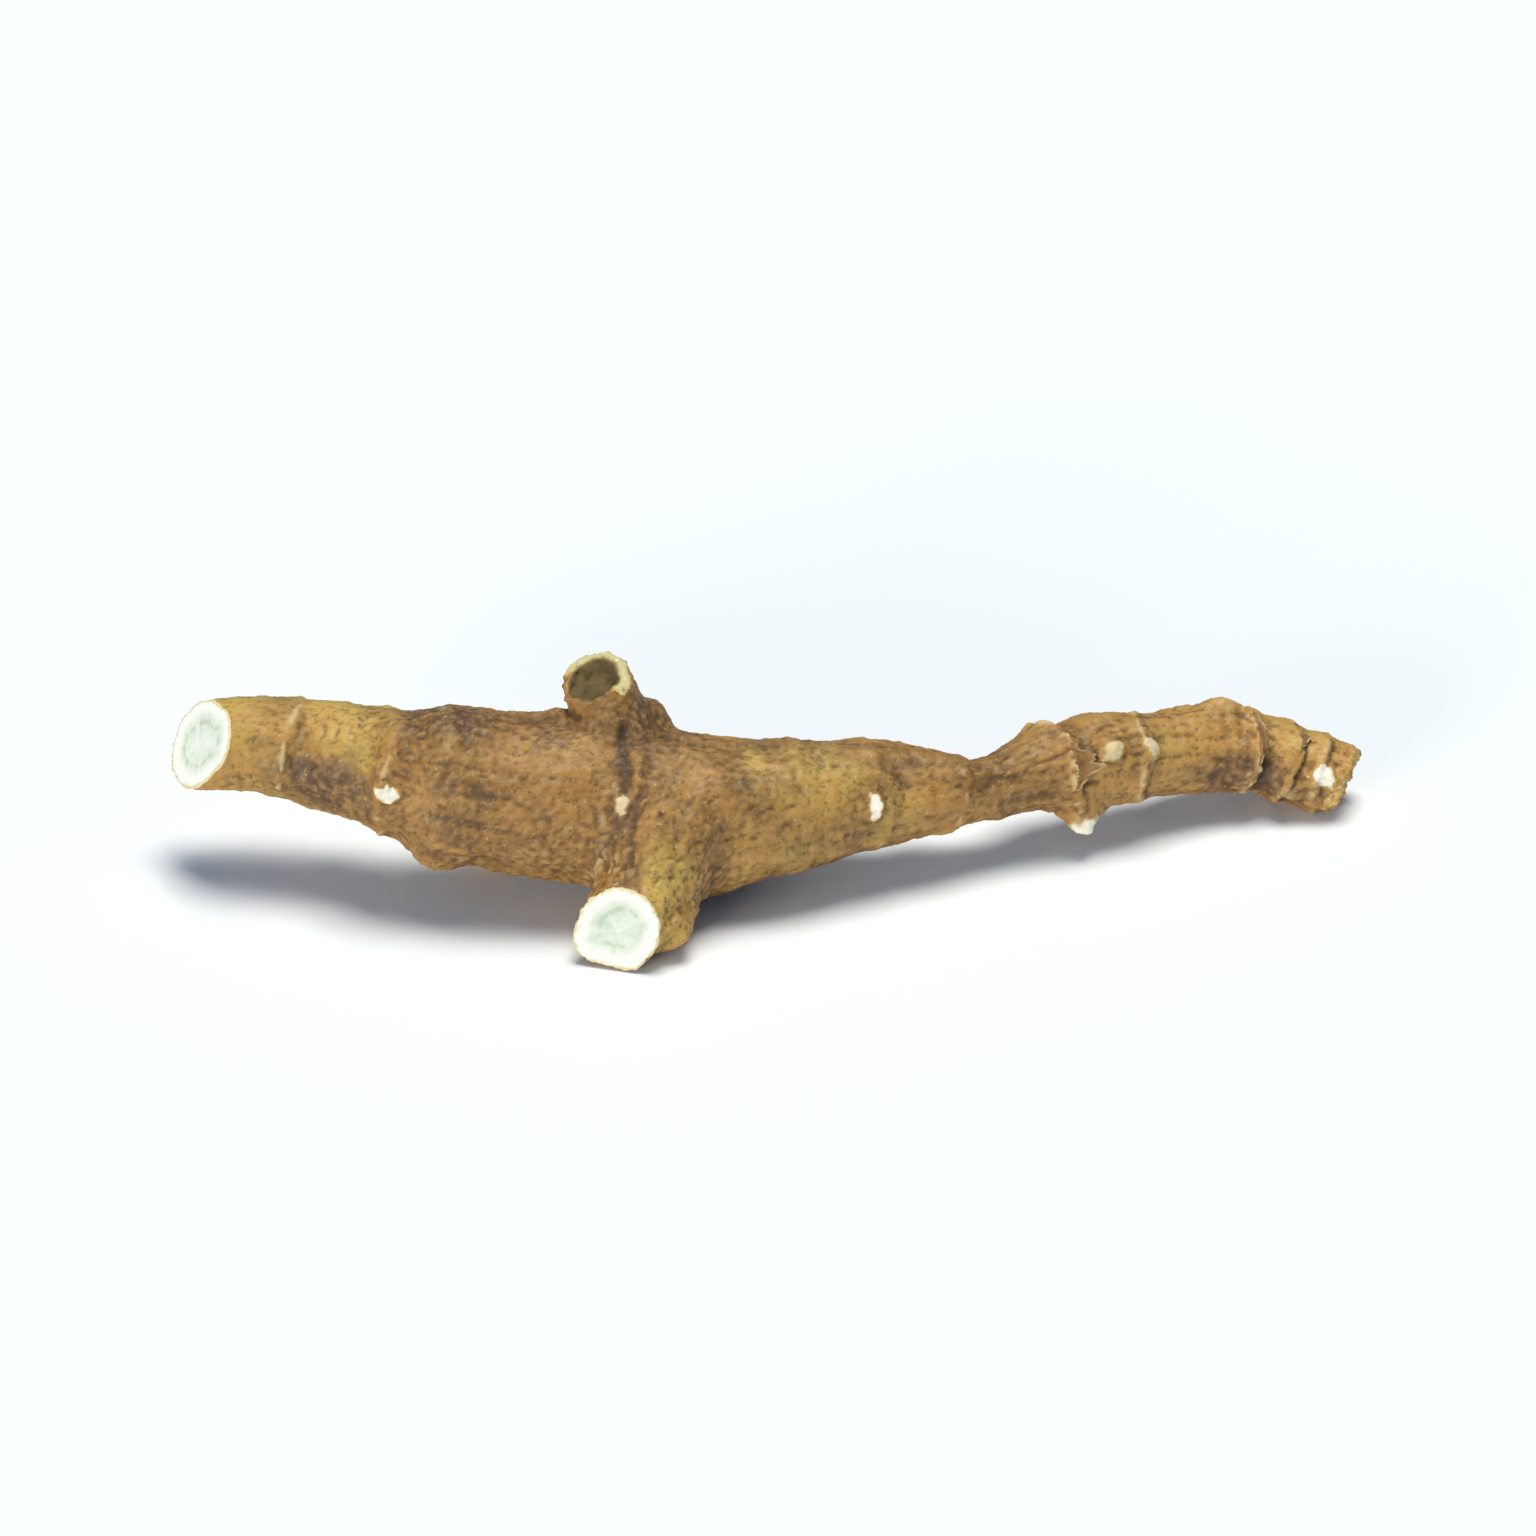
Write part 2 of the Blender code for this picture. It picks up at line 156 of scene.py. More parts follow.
# The hollow of the broken stub, and the way to the side of its rim that is bright.
HOLLOW_RADIUS = 0.6
HOLLOW_DEPTH = 0.72
BRIGHT_SIDE = (0.65, 0.7, 0.3)

# The knife cuts with the stems that they end, how uneven the solid's own faces are there, and how
# near to a cut's plane a point's height over it is kept.
CUTS = ((ARM_CUT, (BODY,)), (FORWARD_CUT, (FORWARD, BUD)), (ROOT_CUT, (ROOT,)))
CUT_SLACK = 0.09
CUT_REACH = 0.3

# Rings left by scale leaves: x, width, lean, clock angle that the lean faces, how much pale papery
# leaf is left on the ridge, how dark the crease beyond it is, painted as dirt and shade in the
# groove, and whether that fades early at the front.
RINGS = (
    (-11.3, 0.2, 0.2, 40, 0.5, 0.2, 0.0),
    (-8.95, 0.22, 0.28, 75, 0.4, 0.25, 0.0),
    (-7.3, 0.18, 0.25, 150, 0.1, 0.1, 0.0),
    (-3.98, 0.26, 0.1, 60, 0.3, 1.4, 1.0),
    (0.35, 0.2, 0.12, 30, 0.1, 0.08, 0.0),
    (2.3, 0.17, 0.25, 70, 0.15, 0.05, 0.0),
    (4.3, 0.15, 0.2, 20, 0.3, 0.12, 0.0),
    (6.65, 0.17, 0.18, 80, 0.8, 0.6, 0.0),
    (8.75, 0.15, 0.3, 250, 0.55, 0.4, 0.0),
    (11.2, 0.18, 0.18, 60, 0.9, 0.8, 0.0),
    (12.2, 0.14, 0.3, 60, 0.4, 0.9, 0.0),
    (13.05, 0.14, 0.2, 90, 0.5, 0.6, 0.0),
)
RING_SWAY = 0.07  # of a ring's line along the rhizome
SMOOTHING_ROUNDS = 14  # that take the solid's facets off the fine copy

# Scars of fine roots: x, clock angle, radius, how white the broken core is, and how far the scar is
# stretched round the stem.
ROOT_SCARS = (
    (-8.45, 78, 0.25, 0.95, 0.9),
    (-3.5, 58, 0.2, 0.5, 1.2),
    (2.15, 70, 0.22, 1.0, 1.45),
    (13.3, 62, 0.27, 1.0, 1.1),
    (7.7, 48, 0.27, 0.42, 1.0),
    (8.6, 50, 0.17, 0.5, 1.9),
    (-5.1, -18, 0.3, 0.1, 1.0),
    (-7.5, 138, 0.42, 0.0, 1.0),
    (10.6, -12, 0.36, 0.2, 1.0),
    (12.5, 100, 0.26, 0.2, 1.0),
    (-10.2, 245, 0.3, 0.8, 1.0),
    (-1.0, 290, 0.34, 0.6, 1.2),
    (0.9, 225, 0.3, 0.9, 1.0),
    (3.6, 262, 0.27, 0.95, 1.3),
    (-6.9, 300, 0.32, 0.5, 1.0),
    (9.9, 215, 0.25, 0.8, 1.0),
)

# Rests of scale leaves that still stand on their rings: x of the ring, clock angle of the middle, half
# the angle that it spans, length, the way it points along the rhizome, and how far its tip stands up.
SCALE_LEAVES = (
    (6.65, 62, 30, 0.62, 1, 0.13),
    (6.65, 238, 40, 0.5, 1, 0.07),
    (8.75, 222, 42, 0.4, 1, 0.06),
    (11.2, 36, 40, 0.28, 1, 0.08),
    (11.2, 208, 30, 0.4, 1, 0.06),
    (12.2, 14, 28, 0.26, 1, 0.07),
    (12.2, 270, 34, 0.3, 1, 0.06),
)
LEAF_ROWS = 7
LEAF_COLUMNS = 18
OUTSIDE = 4.0  # a point that far from the middle line is outside the skin

# Patches of small warts, golden skin and dusky skin, with a painted highlight on the arm's top and
# painted shade on the belly's top among them: x, clock angle, half length, half width, strength.
WARTY_PATCHES = (
    (-3.2, 108, 2.6, 1.5, 0.75),
    (-1.6, 120, 1.4, 1.0, 0.6),
    (-6.0, 280, 2.5, 1.6, 0.8),
    (9.0, 200, 3.0, 1.2, 0.6),
)
GOLDEN_AND_HIGHLIGHT_PATCHES = (
    # Partly a painted highlight: these two golden patches lighten the arm's top.
    (-10.0, 8, 1.3, 1.2, 1.1),
    (-12.7, 10, 1.0, 1.1, 0.85),
    (-9.15, 56, 0.35, 0.3, 1.0),
    (-0.45, 20, 0.28, 0.8, 1.0),
    (0.9, 35, 1.3, 1.1, 0.7),
    (-1.3, 95, 1.2, 1.0, 0.4),
    (0.3, 105, 1.0, 0.7, 0.4),
    (2.8, 80, 0.6, 0.6, 0.6),
    (2.4, 106, 0.6, 0.45, 0.5),
    (4.1, 150, 0.7, 0.35, 0.8),
    (8.9, 45, 0.5, 0.6, 0.6),
    (10.7, -25, 0.8, 0.6, 0.5),
    (12.4, 10, 0.9, 0.8, 0.75),
    (-10.5, 230, 1.6, 1.2, 0.6),
    (1.4, 250, 1.8, 1.1, 0.6),
    (10.4, 250, 1.5, 0.8, 0.4),
)
DUSKY_AND_SHADE_PATCHES = (
    (-10.1, 90, 1.45, 0.95, 1.2),
    (-9.9, 62, 0.3, 0.2, 0.9),
    # Painted shade: this dusky patch darkens the top of the belly near the arm.
    (-7.8, 2, 1.15, 1.1, 1.15),
    (-5.9, 118, 1.6, 1.1, 0.4),
    (-3.2, 95, 0.6, 1.4, 0.5),
    (12.6, 108, 0.8, 0.5, 0.9),
    (5.0, 55, 1.3, 1.2, 0.35),
    (10.8, 150, 2.4, 0.8, 0.85),
    (11.2, 108, 1.5, 0.85, 1.6),
    (-2.6, -30, 0.8, 0.9, 0.7),
    (-3.25, -5, 0.3, 1.6, 0.95),
    (-5.5, 250, 2.2, 1.4, 0.5),
    (7.4, 190, 1.4, 1.0, 0.5),
)

# Softboxes: name, width and height in metres, watts, colour, and place in metres.
SOFTBOXES = (
    ("overhead_softbox", (0.3, 0.3), 3.6, "#fffcf2", (0.06, 0.06, 0.6)),
    ("front_softbox", (0.3, 0.17), 2.3, "#fffaf0", (-0.34, -0.5, 0.115)),
)


def linear(hex_colour):
    """The linear colour of an sRGB hex value."""
    channels = [int(hex_colour[i : i + 2], 16) / 255 for i in (1, 3, 5)]
    return tuple(c / 12.92 if c <= 0.04045 else ((c + 0.055) / 1.055) ** 2.4 for c in channels)


def colour_property(name, description, hex_colour):
    """A colour that a user can change."""
    default = linear(hex_colour)
    return FloatVectorProperty(
        name=name, description=description, subtype="COLOR", size=3, min=0.0, max=1.0, default=default
    )


def length_property(name, description, millimetres):
    """A length that a user can change."""
    return FloatProperty(
        name=name, description=description, default=millimetres * MM, min=0.0, precision=6, unit="LENGTH"
    )


class RhizomeBarkSettings(bpy.types.PropertyGroup):
    """Sizes and colours of the dried bark."""

    mesh_step: length_property("Mesh step", "Distance between the fine skin's points", 0.067)
    wrinkle_spacing: length_property("Wrinkle spacing", "Between shrinkage wrinkles round the stem", 0.26)
    wrinkle_depth: length_property("Wrinkle depth", "Depth of the lengthwise wrinkles", 0.014)
    fold_spacing: length_property("Fold spacing", "Between the few deeper lengthwise folds", 1.0)
    fold_depth: length_property("Fold depth", "Depth of those folds", 0.024)
    band_spacing: length_property("Band spacing", "Between fine wrinkles that run round the stem", 0.17)
    band_depth: length_property("Band depth", "Depth of the wrinkles that run round the stem", 0.016)
    wart_spacing: length_property("Wart spacing", "Between the small bumps on the belly", 0.3)
    wart_height: length_property("Wart height", "Height of the small bumps on the belly", 0.05)
    peel_size: length_property("Peel size", "Size of the patches where the outermost cork is gone", 0.9)
    peel_step: length_property("Peel step", "Thickness of the cork that peels", 0.016)
    grain_size: length_property("Grain size", "Size of the dry grain, drawn as coarse as it shows", 0.08)
    body_colour: colour_property("Bark", "Plain bark of the belly", "#9a7039")
    shade_colour: colour_property("Dark bark", "Bark where it is older and duller", "#6d4f2c")
    golden_colour: colour_property("Golden bark", "Young waxy bark of the arm and the flank", "#ceac55")
    light_colour: colour_property("Light bark", "Bark where its outermost cork is rubbed away", "#bf8f4a")
    tail_colour: colour_property("Tail bark", "Orange-brown bark of the tail", "#c2924c")
    dusky_colour: colour_property("Dusky bark", "Dull dark brown blotches", "#63482f")
    # Colour of dirt specks, and of painted shade in creases, pits and sunk places.
    dirt_and_shade_colour: colour_property("Crease", "Dirt and shade in creases and pits", "#33251a")
    paper_colour: colour_property("Leaf rest", "Papery pale rest of a scale leaf", "#d6bd8a")
    core_colour: colour_property("Root core", "White core of a broken fine root", "#f8f1de")


class RhizomeLeafSettings(bpy.types.PropertyGroup):
    """Sizes and colours of the rests of scale leaves."""

    thickness: length_property("Leaf thickness", "Thickness of the papery leaf", 0.03)
    leaf_colour: colour_property("Scale leaf", "Brown papery body of a scale leaf", "#9c7440")
    stain_colour: colour_property("Leaf stain", "Darker mottles of a scale leaf", "#6f4f2b")
    leaf_edge_colour: colour_property("Leaf edge", "Bleached torn edge of a scale leaf", "#dcc48e")
    vein_spacing: length_property("Vein spacing", "Between the veins of a scale leaf", 0.07)


class RhizomeFleshSettings(bpy.types.PropertyGroup):
    """Sizes and colours of the cut flesh and the broken pith."""

    rim_width: length_property("Rim width", "Bright outer layer of the cut face", 0.3)
    ring_depth: length_property("Ring depth", "How far the faint ring lies inside the outline", 0.5)
    sink: length_property("Sink", "How far the middle of a cut has shrunk back", 0.05)
    rim_colour: colour_property("Outer flesh", "Bright white outer flesh", "#faf9ec")
    edge_colour: colour_property("Edge of the flesh", "Yellowed line just inside the bark", "#e2d3a2")
    inner_colour: colour_property("Inner flesh", "Cool greyish inner flesh", "#e3e9d9")
    ring_colour: colour_property("Ring", "Faint ring in the cut", "#b9c2a8")
    pith_colour: colour_property("Pith", "Dark dry pith in the hollow", "#6b5a3a")
    break_colour: colour_property("Broken wood", "Pale gold of a torn end", "#d8b673")
    rind_colour: colour_property("Broken rim", "Yellow-green rim of the hollow", "#cdc48e")


class RhizomeStageSettings(bpy.types.PropertyGroup):
    """The table, the lights and the camera."""

    elevation: FloatProperty(
        name="Elevation", description="Above the horizon", default=math.radians(30), subtype="ANGLE"
    )
    distance: FloatProperty(
        name="Distance", description="Camera from the rhizome", default=0.3, min=0.1, unit="LENGTH"
    )
    lens: FloatProperty(name="Lens", description="Focal length in mm", default=300.0, min=50.0)
    key_strength: FloatProperty(name="Key", description="Strength of both softboxes", default=1.0)
    fill_strength: FloatProperty(name="Fill", description="Strength of the room's light", default=0.28)
    floor_colour: colour_property("Table", "Plain white table", "#f4f6f7")
    sky_colour: colour_property("Fill colour", "Cool light from all round", "#7cb6f0")


def smooth_through(knots, values, at):
    """Rows of values at the positions `at`, on a cubic curve through (knots, values)."""
    slopes = np.gradient(values, knots, axis=0)
    i = np.clip(np.searchsorted(knots, at) - 1, 0, len(knots) - 2)
    span = (knots[i + 1] - knots[i])[:, None]
    t = (at - knots[i])[:, None] / span
    start = (2 * t**3 - 3 * t**2 + 1) * values[i] + (t**3 - 2 * t**2 + t) * span * slopes[i]
    end = (3 * t**2 - 2 * t**3) * values[i + 1] + (t**3 - t**2) * span * slopes[i + 1]
    return start + end


def stations_on(stem):
    """Rows of x, y, z and thickness at even steps along a stem's smooth middle line."""
    stem = np.array(stem)
    knots = np.append(0.0, np.cumsum(np.linalg.norm(np.diff(stem[:, :3], axis=0), axis=1)))
    at = np.linspace(0.0, knots[-1], int(knots[-1] / STATION_STEP) + 2)
    return smooth_through(knots, stem, at)


def nearest_on(stations, skin):
    """For each point of the skin, the index of the nearest station."""
    tree = KDTree(len(stations))
    for index, station in enumerate(stations):
        tree.insert(station[:3], index)
    tree.balance()
    return np.array([tree.find(point)[1] for point in skin])


def clock_and_radius(stations, nearest, skin):
    """The clock angle of each point of the skin round its stem, in radians, and its distance."""
    along = np.gradient(stations[:, :3], axis=0)[nearest]
    along /= np.linalg.norm(along, axis=1, keepdims=True)
    up = np.array([0.0, 0.0, 1.0]) - along[:, 2:3] * along
    up /= np.linalg.norm(up, axis=1, keepdims=True)
    front = np.cross(along, up)
    out = skin - stations[nearest, :3]
    clock = np.arctan2((out * front).sum(axis=1), (out * up).sum(axis=1))
    return clock, np.linalg.norm(out, axis=1)


def step_between(low, high, value):
    """0 below low, 1 above high and a smooth step between them."""
    t = np.clip((value - low) / (high - low), 0.0, 1.0)
    return t * t * (3 - 2 * t)


def noise_over(places, spacing):
    """Smooth noise from about -1 to 1, with features about one spacing apart."""
    return np.array([noise.noise(Vector(place)) for place in places / spacing]) * 1.6


def cells_over(places, spacing):
    """Distance to the nearest and to the second nearest of scattered points one spacing apart."""
    found = [noise.voronoi(Vector(place))[0][:2] for place in places / spacing]
    return np.array(found).T


def read_all(rows, name, kind=float, width=1):
    """A property of all of a mesh's rows, as an array with that many columns."""
    values = np.empty(len(rows) * width, np.int32 if kind is int else np.float32)
    rows.foreach_get(name, values)
    return values.reshape(-1, width).astype(kind) if width > 1 else values


class Skin:
    """The points of the rhizome's skin, with their places on its stems."""

    def __init__(self, mesh):
        self.mesh = mesh
        self.points = read_all(mesh.vertices, "co", width=3) / MM - DRAWN_FROM
        self.normals = read_all(mesh.vertex_normals, "vector", width=3)
        self.edges = read_all(mesh.edges, "vertices", int, width=2)

    def write(self):
        """Puts the points back in the mesh, none below the table."""
        placed = (self.points + DRAWN_FROM) * MM
        placed[:, 2] = np.maximum(placed[:, 2], 0.0)
        self.mesh.vertices.foreach_set("co", placed.astype(np.float32).ravel())
        self.mesh.update()
        self.normals = read_all(self.mesh.vertex_normals, "vector", width=3)

    def find_stems(self):
        """Sets each point's stem, its way along it, its clock angle and its distance from the middle."""
        rows = []
        for stem in STEMS:
            stations = stations_on(stem)
            nearest = nearest_on(stations, self.points)
            clock, radius = clock_and_radius(stations, nearest, self.points)
            behind = (nearest == 0) & (stem is not SPINE)
            depth = radius - stations[nearest, 3] / 2 + np.where(behind, FAR, 0.0)
            along = stations[nearest, 0] if stem is SPINE else nearest * STATION_STEP
            rows.append((depth, along, clock, radius))
        rows = np.array(rows)
        self.depth = rows[:, 0]
        self.owner = self.depth.argmin(axis=0)
        self.x, self.body_clock, self.body_radius = rows[BODY, 1:]
        self.along, self.clock, self.radius = rows[self.owner, 1:, np.arange(len(self.points))].T
        self.on_body = np.clip(self.depth[1:].min(axis=0) / 0.3, 0.0, 1.0)
        self.near_body = step_between(0.5, 0.2, self.depth[BODY])

    def unrolled(self, stretch):
        """Places on the skin with the way along the stem divided by the stretch."""
        across = self.radius[:, None] * np.column_stack([np.cos(self.clock), np.sin(self.clock)])
        return np.column_stack([self.along / stretch + FAR * self.owner, across])

    def from_face(self, face):
        """Height over the plane of a cut or break, distance from its middle, and its direction."""
        centre, faces, _ = face
        direction = np.array(faces) / np.linalg.norm(faces)
        away = self.points - np.array(centre)
        height = away @ direction
        aside = np.linalg.norm(away - height[:, None] * direction, axis=1)
        return height, aside, direction

    def smooth(self, weight, rounds):
        """Moves each point towards the mean of its neighbours, by its weight, in rounds."""
        count = np.bincount(self.edges.ravel(), minlength=len(self.points))
        for _ in range(rounds):
            mean = np.empty_like(self.points)
            for axis in range(3):
                column = self.points[:, axis]
                total = np.bincount(self.edges[:, 0], column[self.edges[:, 1]], len(column))
                total += np.bincount(self.edges[:, 1], column[self.edges[:, 0]], len(column))
                mean[:, axis] = total / count
            self.points += (mean - self.points) * 0.5 * weight[:, None]

    def stands_out(self, rounds):
        """How far each point stands out of the skin as it is after rounds of smoothing."""
        kept = self.points.copy()
        self.smooth(np.ones(len(kept)), rounds)
        stands = ((kept - self.points) * self.normals).sum(axis=1)
        self.points = kept
        return stands

    def note(self, name, values):
        """Keeps a value for every point in the mesh, for its materials."""
        attribute = self.mesh.attributes.new(name, "FLOAT", "POINT")
        attribute.data.foreach_set("value", values.astype(np.float32))


def apply_modifiers(made):
    """Makes an object's modifiers part of its mesh."""
    bpy.context.view_layer.update()
    graph = bpy.context.evaluated_depsgraph_get()
    made.data = bpy.data.meshes.new_from_object(made.evaluated_get(graph))
    made.data.name = made.name
    made.modifiers.clear()


def even_copy(node, name, step):
    """A new object with an even, closed mesh over the CAD node."""
    made = bpy.data.objects.new(name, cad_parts[node].data.copy())
    bpy.context.scene.collection.objects.link(made)
    remesh = made.modifiers.new("Even mesh", "REMESH")
    remesh.mode = "VOXEL"
    remesh.voxel_size = step
    apply_modifiers(made)
    return made


def ring_places(skin, ring):
    """How far each point lies beyond the line of a ring, along the rhizome."""
    ring_x, _, lean, faces = ring[:4]
    sway = RING_SWAY * np.sin(3 * skin.body_clock + 2 * ring_x)
    tilt = lean * skin.body_radius * np.cos(skin.body_clock - math.radians(faces))
    return skin.x - ring_x - sway - tilt


def patches(skin, table):
    """Strength of soft-edged patches of colour at each point."""
    strength = np.zeros(len(skin.points))
    for x, clock, half_length, half_width, strong in table:
        turn = np.angle(np.exp(1j * (skin.body_clock - math.radians(clock)))) * skin.body_radius
        reach = np.hypot((skin.x - x) / half_length, turn / half_width)
        strength = np.maximum(strength, strong * np.clip(1.35 - reach, 0.0, 1.0))
    return strength


def face_points(skin, face, owners):
    """True for the points that lie in a flat cut face."""
    height, aside, direction = skin.from_face(face)
    in_face = (height > -CUT_SLACK) & (aside < face[2]) & np.isin(skin.owner, owners)
    return in_face & (skin.normals @ direction > 0.75)


def rim_distance(skin, in_face):
    """For the points of a cut face, how far each lies inside its outline. 0 elsewhere."""
    across = in_face[skin.edges[:, 0]] != in_face[skin.edges[:, 1]]
    ends = skin.edges[across].ravel()
    rim = np.unique(ends[in_face[ends]])
    tree = KDTree(len(rim))
    for index in rim:
        tree.insert(skin.points[index], int(index))
    tree.balance()
    distance = np.zeros(len(skin.points))
    for index in np.flatnonzero(in_face):
        distance[index] = tree.find(skin.points[index])[2]
    return distance


def scar_fields(skin):
    """White cores, dark rims painted as shade round the scars and darkest beneath them as a painted
    shadow, and crater heights of the root scars.
    """
    core = np.zeros(len(skin.points))
    rim = np.zeros(len(skin.points))
    height = np.zeros(len(skin.points))
    wobble = noise_over(skin.points, 0.3)
    crumbs = noise_over(skin.points, 0.1)
    for x, clock, wide, white, stretch in ROOT_SCARS:
        turn = np.angle(np.exp(1j * (skin.body_clock - math.radians(clock)))) * skin.body_radius
        reach = np.hypot(skin.x - x, turn / stretch) / wide * (1.0 + 0.35 * wobble)
        reach[skin.on_body < 0.2] = FAR
        core = np.maximum(core, white * step_between(1.0, 0.6, reach + 0.25 * crumbs))
        # Painted shadow: each rim is darker on its side beneath the scar.
        shadow_beneath = step_between(-0.1, 0.8, turn / wide)
        rim = np.maximum(rim, (0.2 + 0.22 * shadow_beneath) * np.exp(-(((reach - 1.15) / 0.25) ** 2)))
        height += 0.05 * step_between(1.5, 0.9, reach) - 0.03 * white * step_between(0.8, 0.3, reach)
        height += 0.03 * crumbs * step_between(1.1, 0.6, reach)
    return core, rim, height


def ring_fields(skin):
    """Pale leaf rests, dark creases painted as dirt and shade, and heights of the rings."""
    pale = np.zeros(len(skin.points))
    dark = np.zeros(len(skin.points))
    height = np.zeros(len(skin.points))
    ragged = noise_over(skin.unrolled(1.0), 0.45) + 0.6 * noise_over(skin.unrolled(1.0), 0.16)
    broken = noise_over(skin.points, 0.9)
    for ring in RINGS:
        _, width, _, _, paleness, darkness, short = ring
        offset = ring_places(skin, ring) + 0.03 * ragged
        left = step_between(0.85 - paleness, 1.35 - paleness, 0.7 * ragged + 0.6 * broken + 0.35)
        beyond = offset + 0.03 * ragged
        line = np.exp(-((beyond / np.where(beyond > 0, 0.25 * width, 0.6 * width)) ** 2)) * left
        crease = np.exp(-(((offset - 0.95 * width) / ((0.25 + 0.25 * darkness) * width)) ** 2))
        crease *= step_between(0.55, 1.25, broken + 1.4 * darkness + 0.3 * ragged)
        facing = (0.8 - 0.6 * short) * broken + np.cos(skin.body_clock - 0.4 + 0.4 * short)
        crease *= step_between(1.2 * short - 1.0, 0.75 * short + 0.2, facing)
        pale = np.maximum(pale, line * min(0.9, 0.2 + paleness))
        dark = np.maximum(dark, crease * min(0.82, 0.3 + 0.7 * darkness))
        height += (0.06 * line * paleness - 0.06 * crease * darkness) * skin.near_body
    return pale * skin.near_body, dark * skin.near_body, height


def bark_relief(skin, bark):
    """Heights of the bark's wrinkles, warts, peeling cork and grain, and where the cork is gone."""
    wrinkle = noise_over(skin.unrolled(5.0), bark.wrinkle_spacing / MM)
    wrinkle += 0.5 * noise_over(skin.unrolled(3.0), bark.wrinkle_spacing / MM / 2)
    coarser = 1.0 + 0.9 * step_between(4.2, 6.4, skin.x)
    height = bark.wrinkle_depth / MM * wrinkle * coarser
    fold = noise_over(skin.unrolled(3.5) + 11.0, bark.fold_spacing / MM)
    fold += 0.12 * noise_over(skin.points, 0.5)
    height -= bark.fold_depth / MM * np.exp(-((fold / 0.22) ** 2)) * coarser

    warped = skin.unrolled(1.0) + 0.05 * noise_over(skin.points, 0.7)[:, None]
    bands = noise_over(warped * (1.0, 0.16, 0.16), bark.band_spacing / MM)
    banded = 0.35 + 0.65 * step_between(0.0, 0.5, noise_over(skin.points + 5.0, 2.6))
    height += bark.band_depth / MM * bands * banded

    jostled = skin.points + 0.06 * noise_over(skin.points, 0.3)[:, None]
    first, second = cells_over(jostled, bark.wart_spacing / MM)
    warty = np.maximum(patches(skin, WARTY_PATCHES), 0.25)
    warts = step_between(0.62, 0.2, first) * step_between(0.0, 0.25, second - first)
    height += bark.wart_height / MM * (warts - 0.3) * warty

    cork = noise_over(skin.unrolled(2.2) + 3.0, bark.peel_size / MM)
    cork += 0.35 * noise_over(skin.unrolled(1.4), bark.peel_size / MM / 4)
    peeled = step_between(0.30, 0.36, cork)
    height -= bark.peel_step / MM * peeled

    pit_distance, _ = cells_over(skin.unrolled(1.6) + 7.0, 0.5)
    pits = step_between(0.2, 0.08, pit_distance)
    height -= 0.03 * pits
    height += 0.010 * noise_over(skin.points, bark.grain_size / MM)
    height += 0.016 * noise_over(skin.points + 3.0, 0.19)
    return height, peeled, warts * warty


def dress_cut_faces(skin, flesh):
    """Flattens the knife cuts and shrinks their middles back.

    Returns how far inside its cut face each point lies, and how strong the rays are that run to the
    middle there.
    """
    inside = np.zeros(len(skin.points))
    rays = np.zeros(len(skin.points))
    for face, owners in CUTS:
        in_face = face_points(skin, face, owners)
        height, aside, direction = skin.from_face(face)
        distance = rim_distance(skin, in_face)
        spokes = (skin.points - np.array(face[0])) / np.maximum(aside, 0.05)[:, None]
        fan = noise_over(spokes * 2.6 + direction * 0.8 * aside[:, None], 1.0)
        rays = np.maximum(rays, in_face * fan)
        shrunk = flesh.sink / MM * step_between(0.05, 0.75, distance)
        ring = 0.02 * np.exp(-(((distance - flesh.ring_depth / MM) / 0.06) ** 2))
        marks = 0.008 * noise_over(skin.points * (1.0, 1.0, 0.2), 0.12)
        marks += 0.006 * noise_over(skin.points, 0.07)
        level = -height - shrunk + ring + marks * step_between(0.02, 0.1, distance)
        skin.points += direction * (level * in_face)[:, None]
        inside = np.maximum(inside, distance + 0.01 * in_face)
    return inside, np.clip(rays, 0.0, 1.0)


def height_over_cuts(skin):
    """How far each point near a knife cut lies over its plane. CUT_REACH below it everywhere else."""
    nearest = np.full(len(skin.points), -CUT_REACH)
    for face, owners in CUTS:
        height, aside, _ = skin.from_face(face)
        near = np.isin(skin.owner, owners) & (aside < face[2] + CUT_REACH)
        nearest = np.maximum(nearest, np.where(near, np.clip(height, -CUT_REACH, CUT_REACH), -CUT_REACH))
    return nearest


def break_fields(skin):
    """The broken stub's hollow, its rim and its bright side, the tail's torn end and the spur's tip."""
    height, aside, direction = skin.from_face(UPPER_BREAK)
    outward = skin.points - np.array(UPPER_BREAK[0])
    at_break = (skin.owner == UPPER) & (height > -HOLLOW_DEPTH) & (aside < UPPER_BREAK[2])
    faces_in = ((outward - height[:, None] * direction) * skin.normals).sum(axis=1) < 0.4 * aside
    hollow = at_break * faces_in * step_between(HOLLOW_RADIUS + 0.12, HOLLOW_RADIUS - 0.02, aside)
    hollow *= step_between(-HOLLOW_DEPTH, -0.5, height)
    rim = at_break * step_between(-0.14, -0.02, height) * (1.0 - hollow)
    towards_bright = outward @ np.array(BRIGHT_SIDE) + 0.2 * noise_over(skin.points, 0.3)
    bright_rim = rim * step_between(-0.3, 0.25, towards_bright)

    tail_height = skin.from_face(TAIL_BREAK)[0] + 0.14 * noise_over(skin.points, 0.35)
    torn = (skin.x > 11.0) * step_between(-0.34, -0.02, tail_height)
    spur_height = skin.from_face(SPUR_TIP)[0] + 0.12 * noise_over(skin.points, 0.2)
    spur_tip = (skin.owner == SPUR_STEM) * step_between(-0.34, -0.12, spur_height)
    return hollow, rim, bright_rim, torn, spur_tip


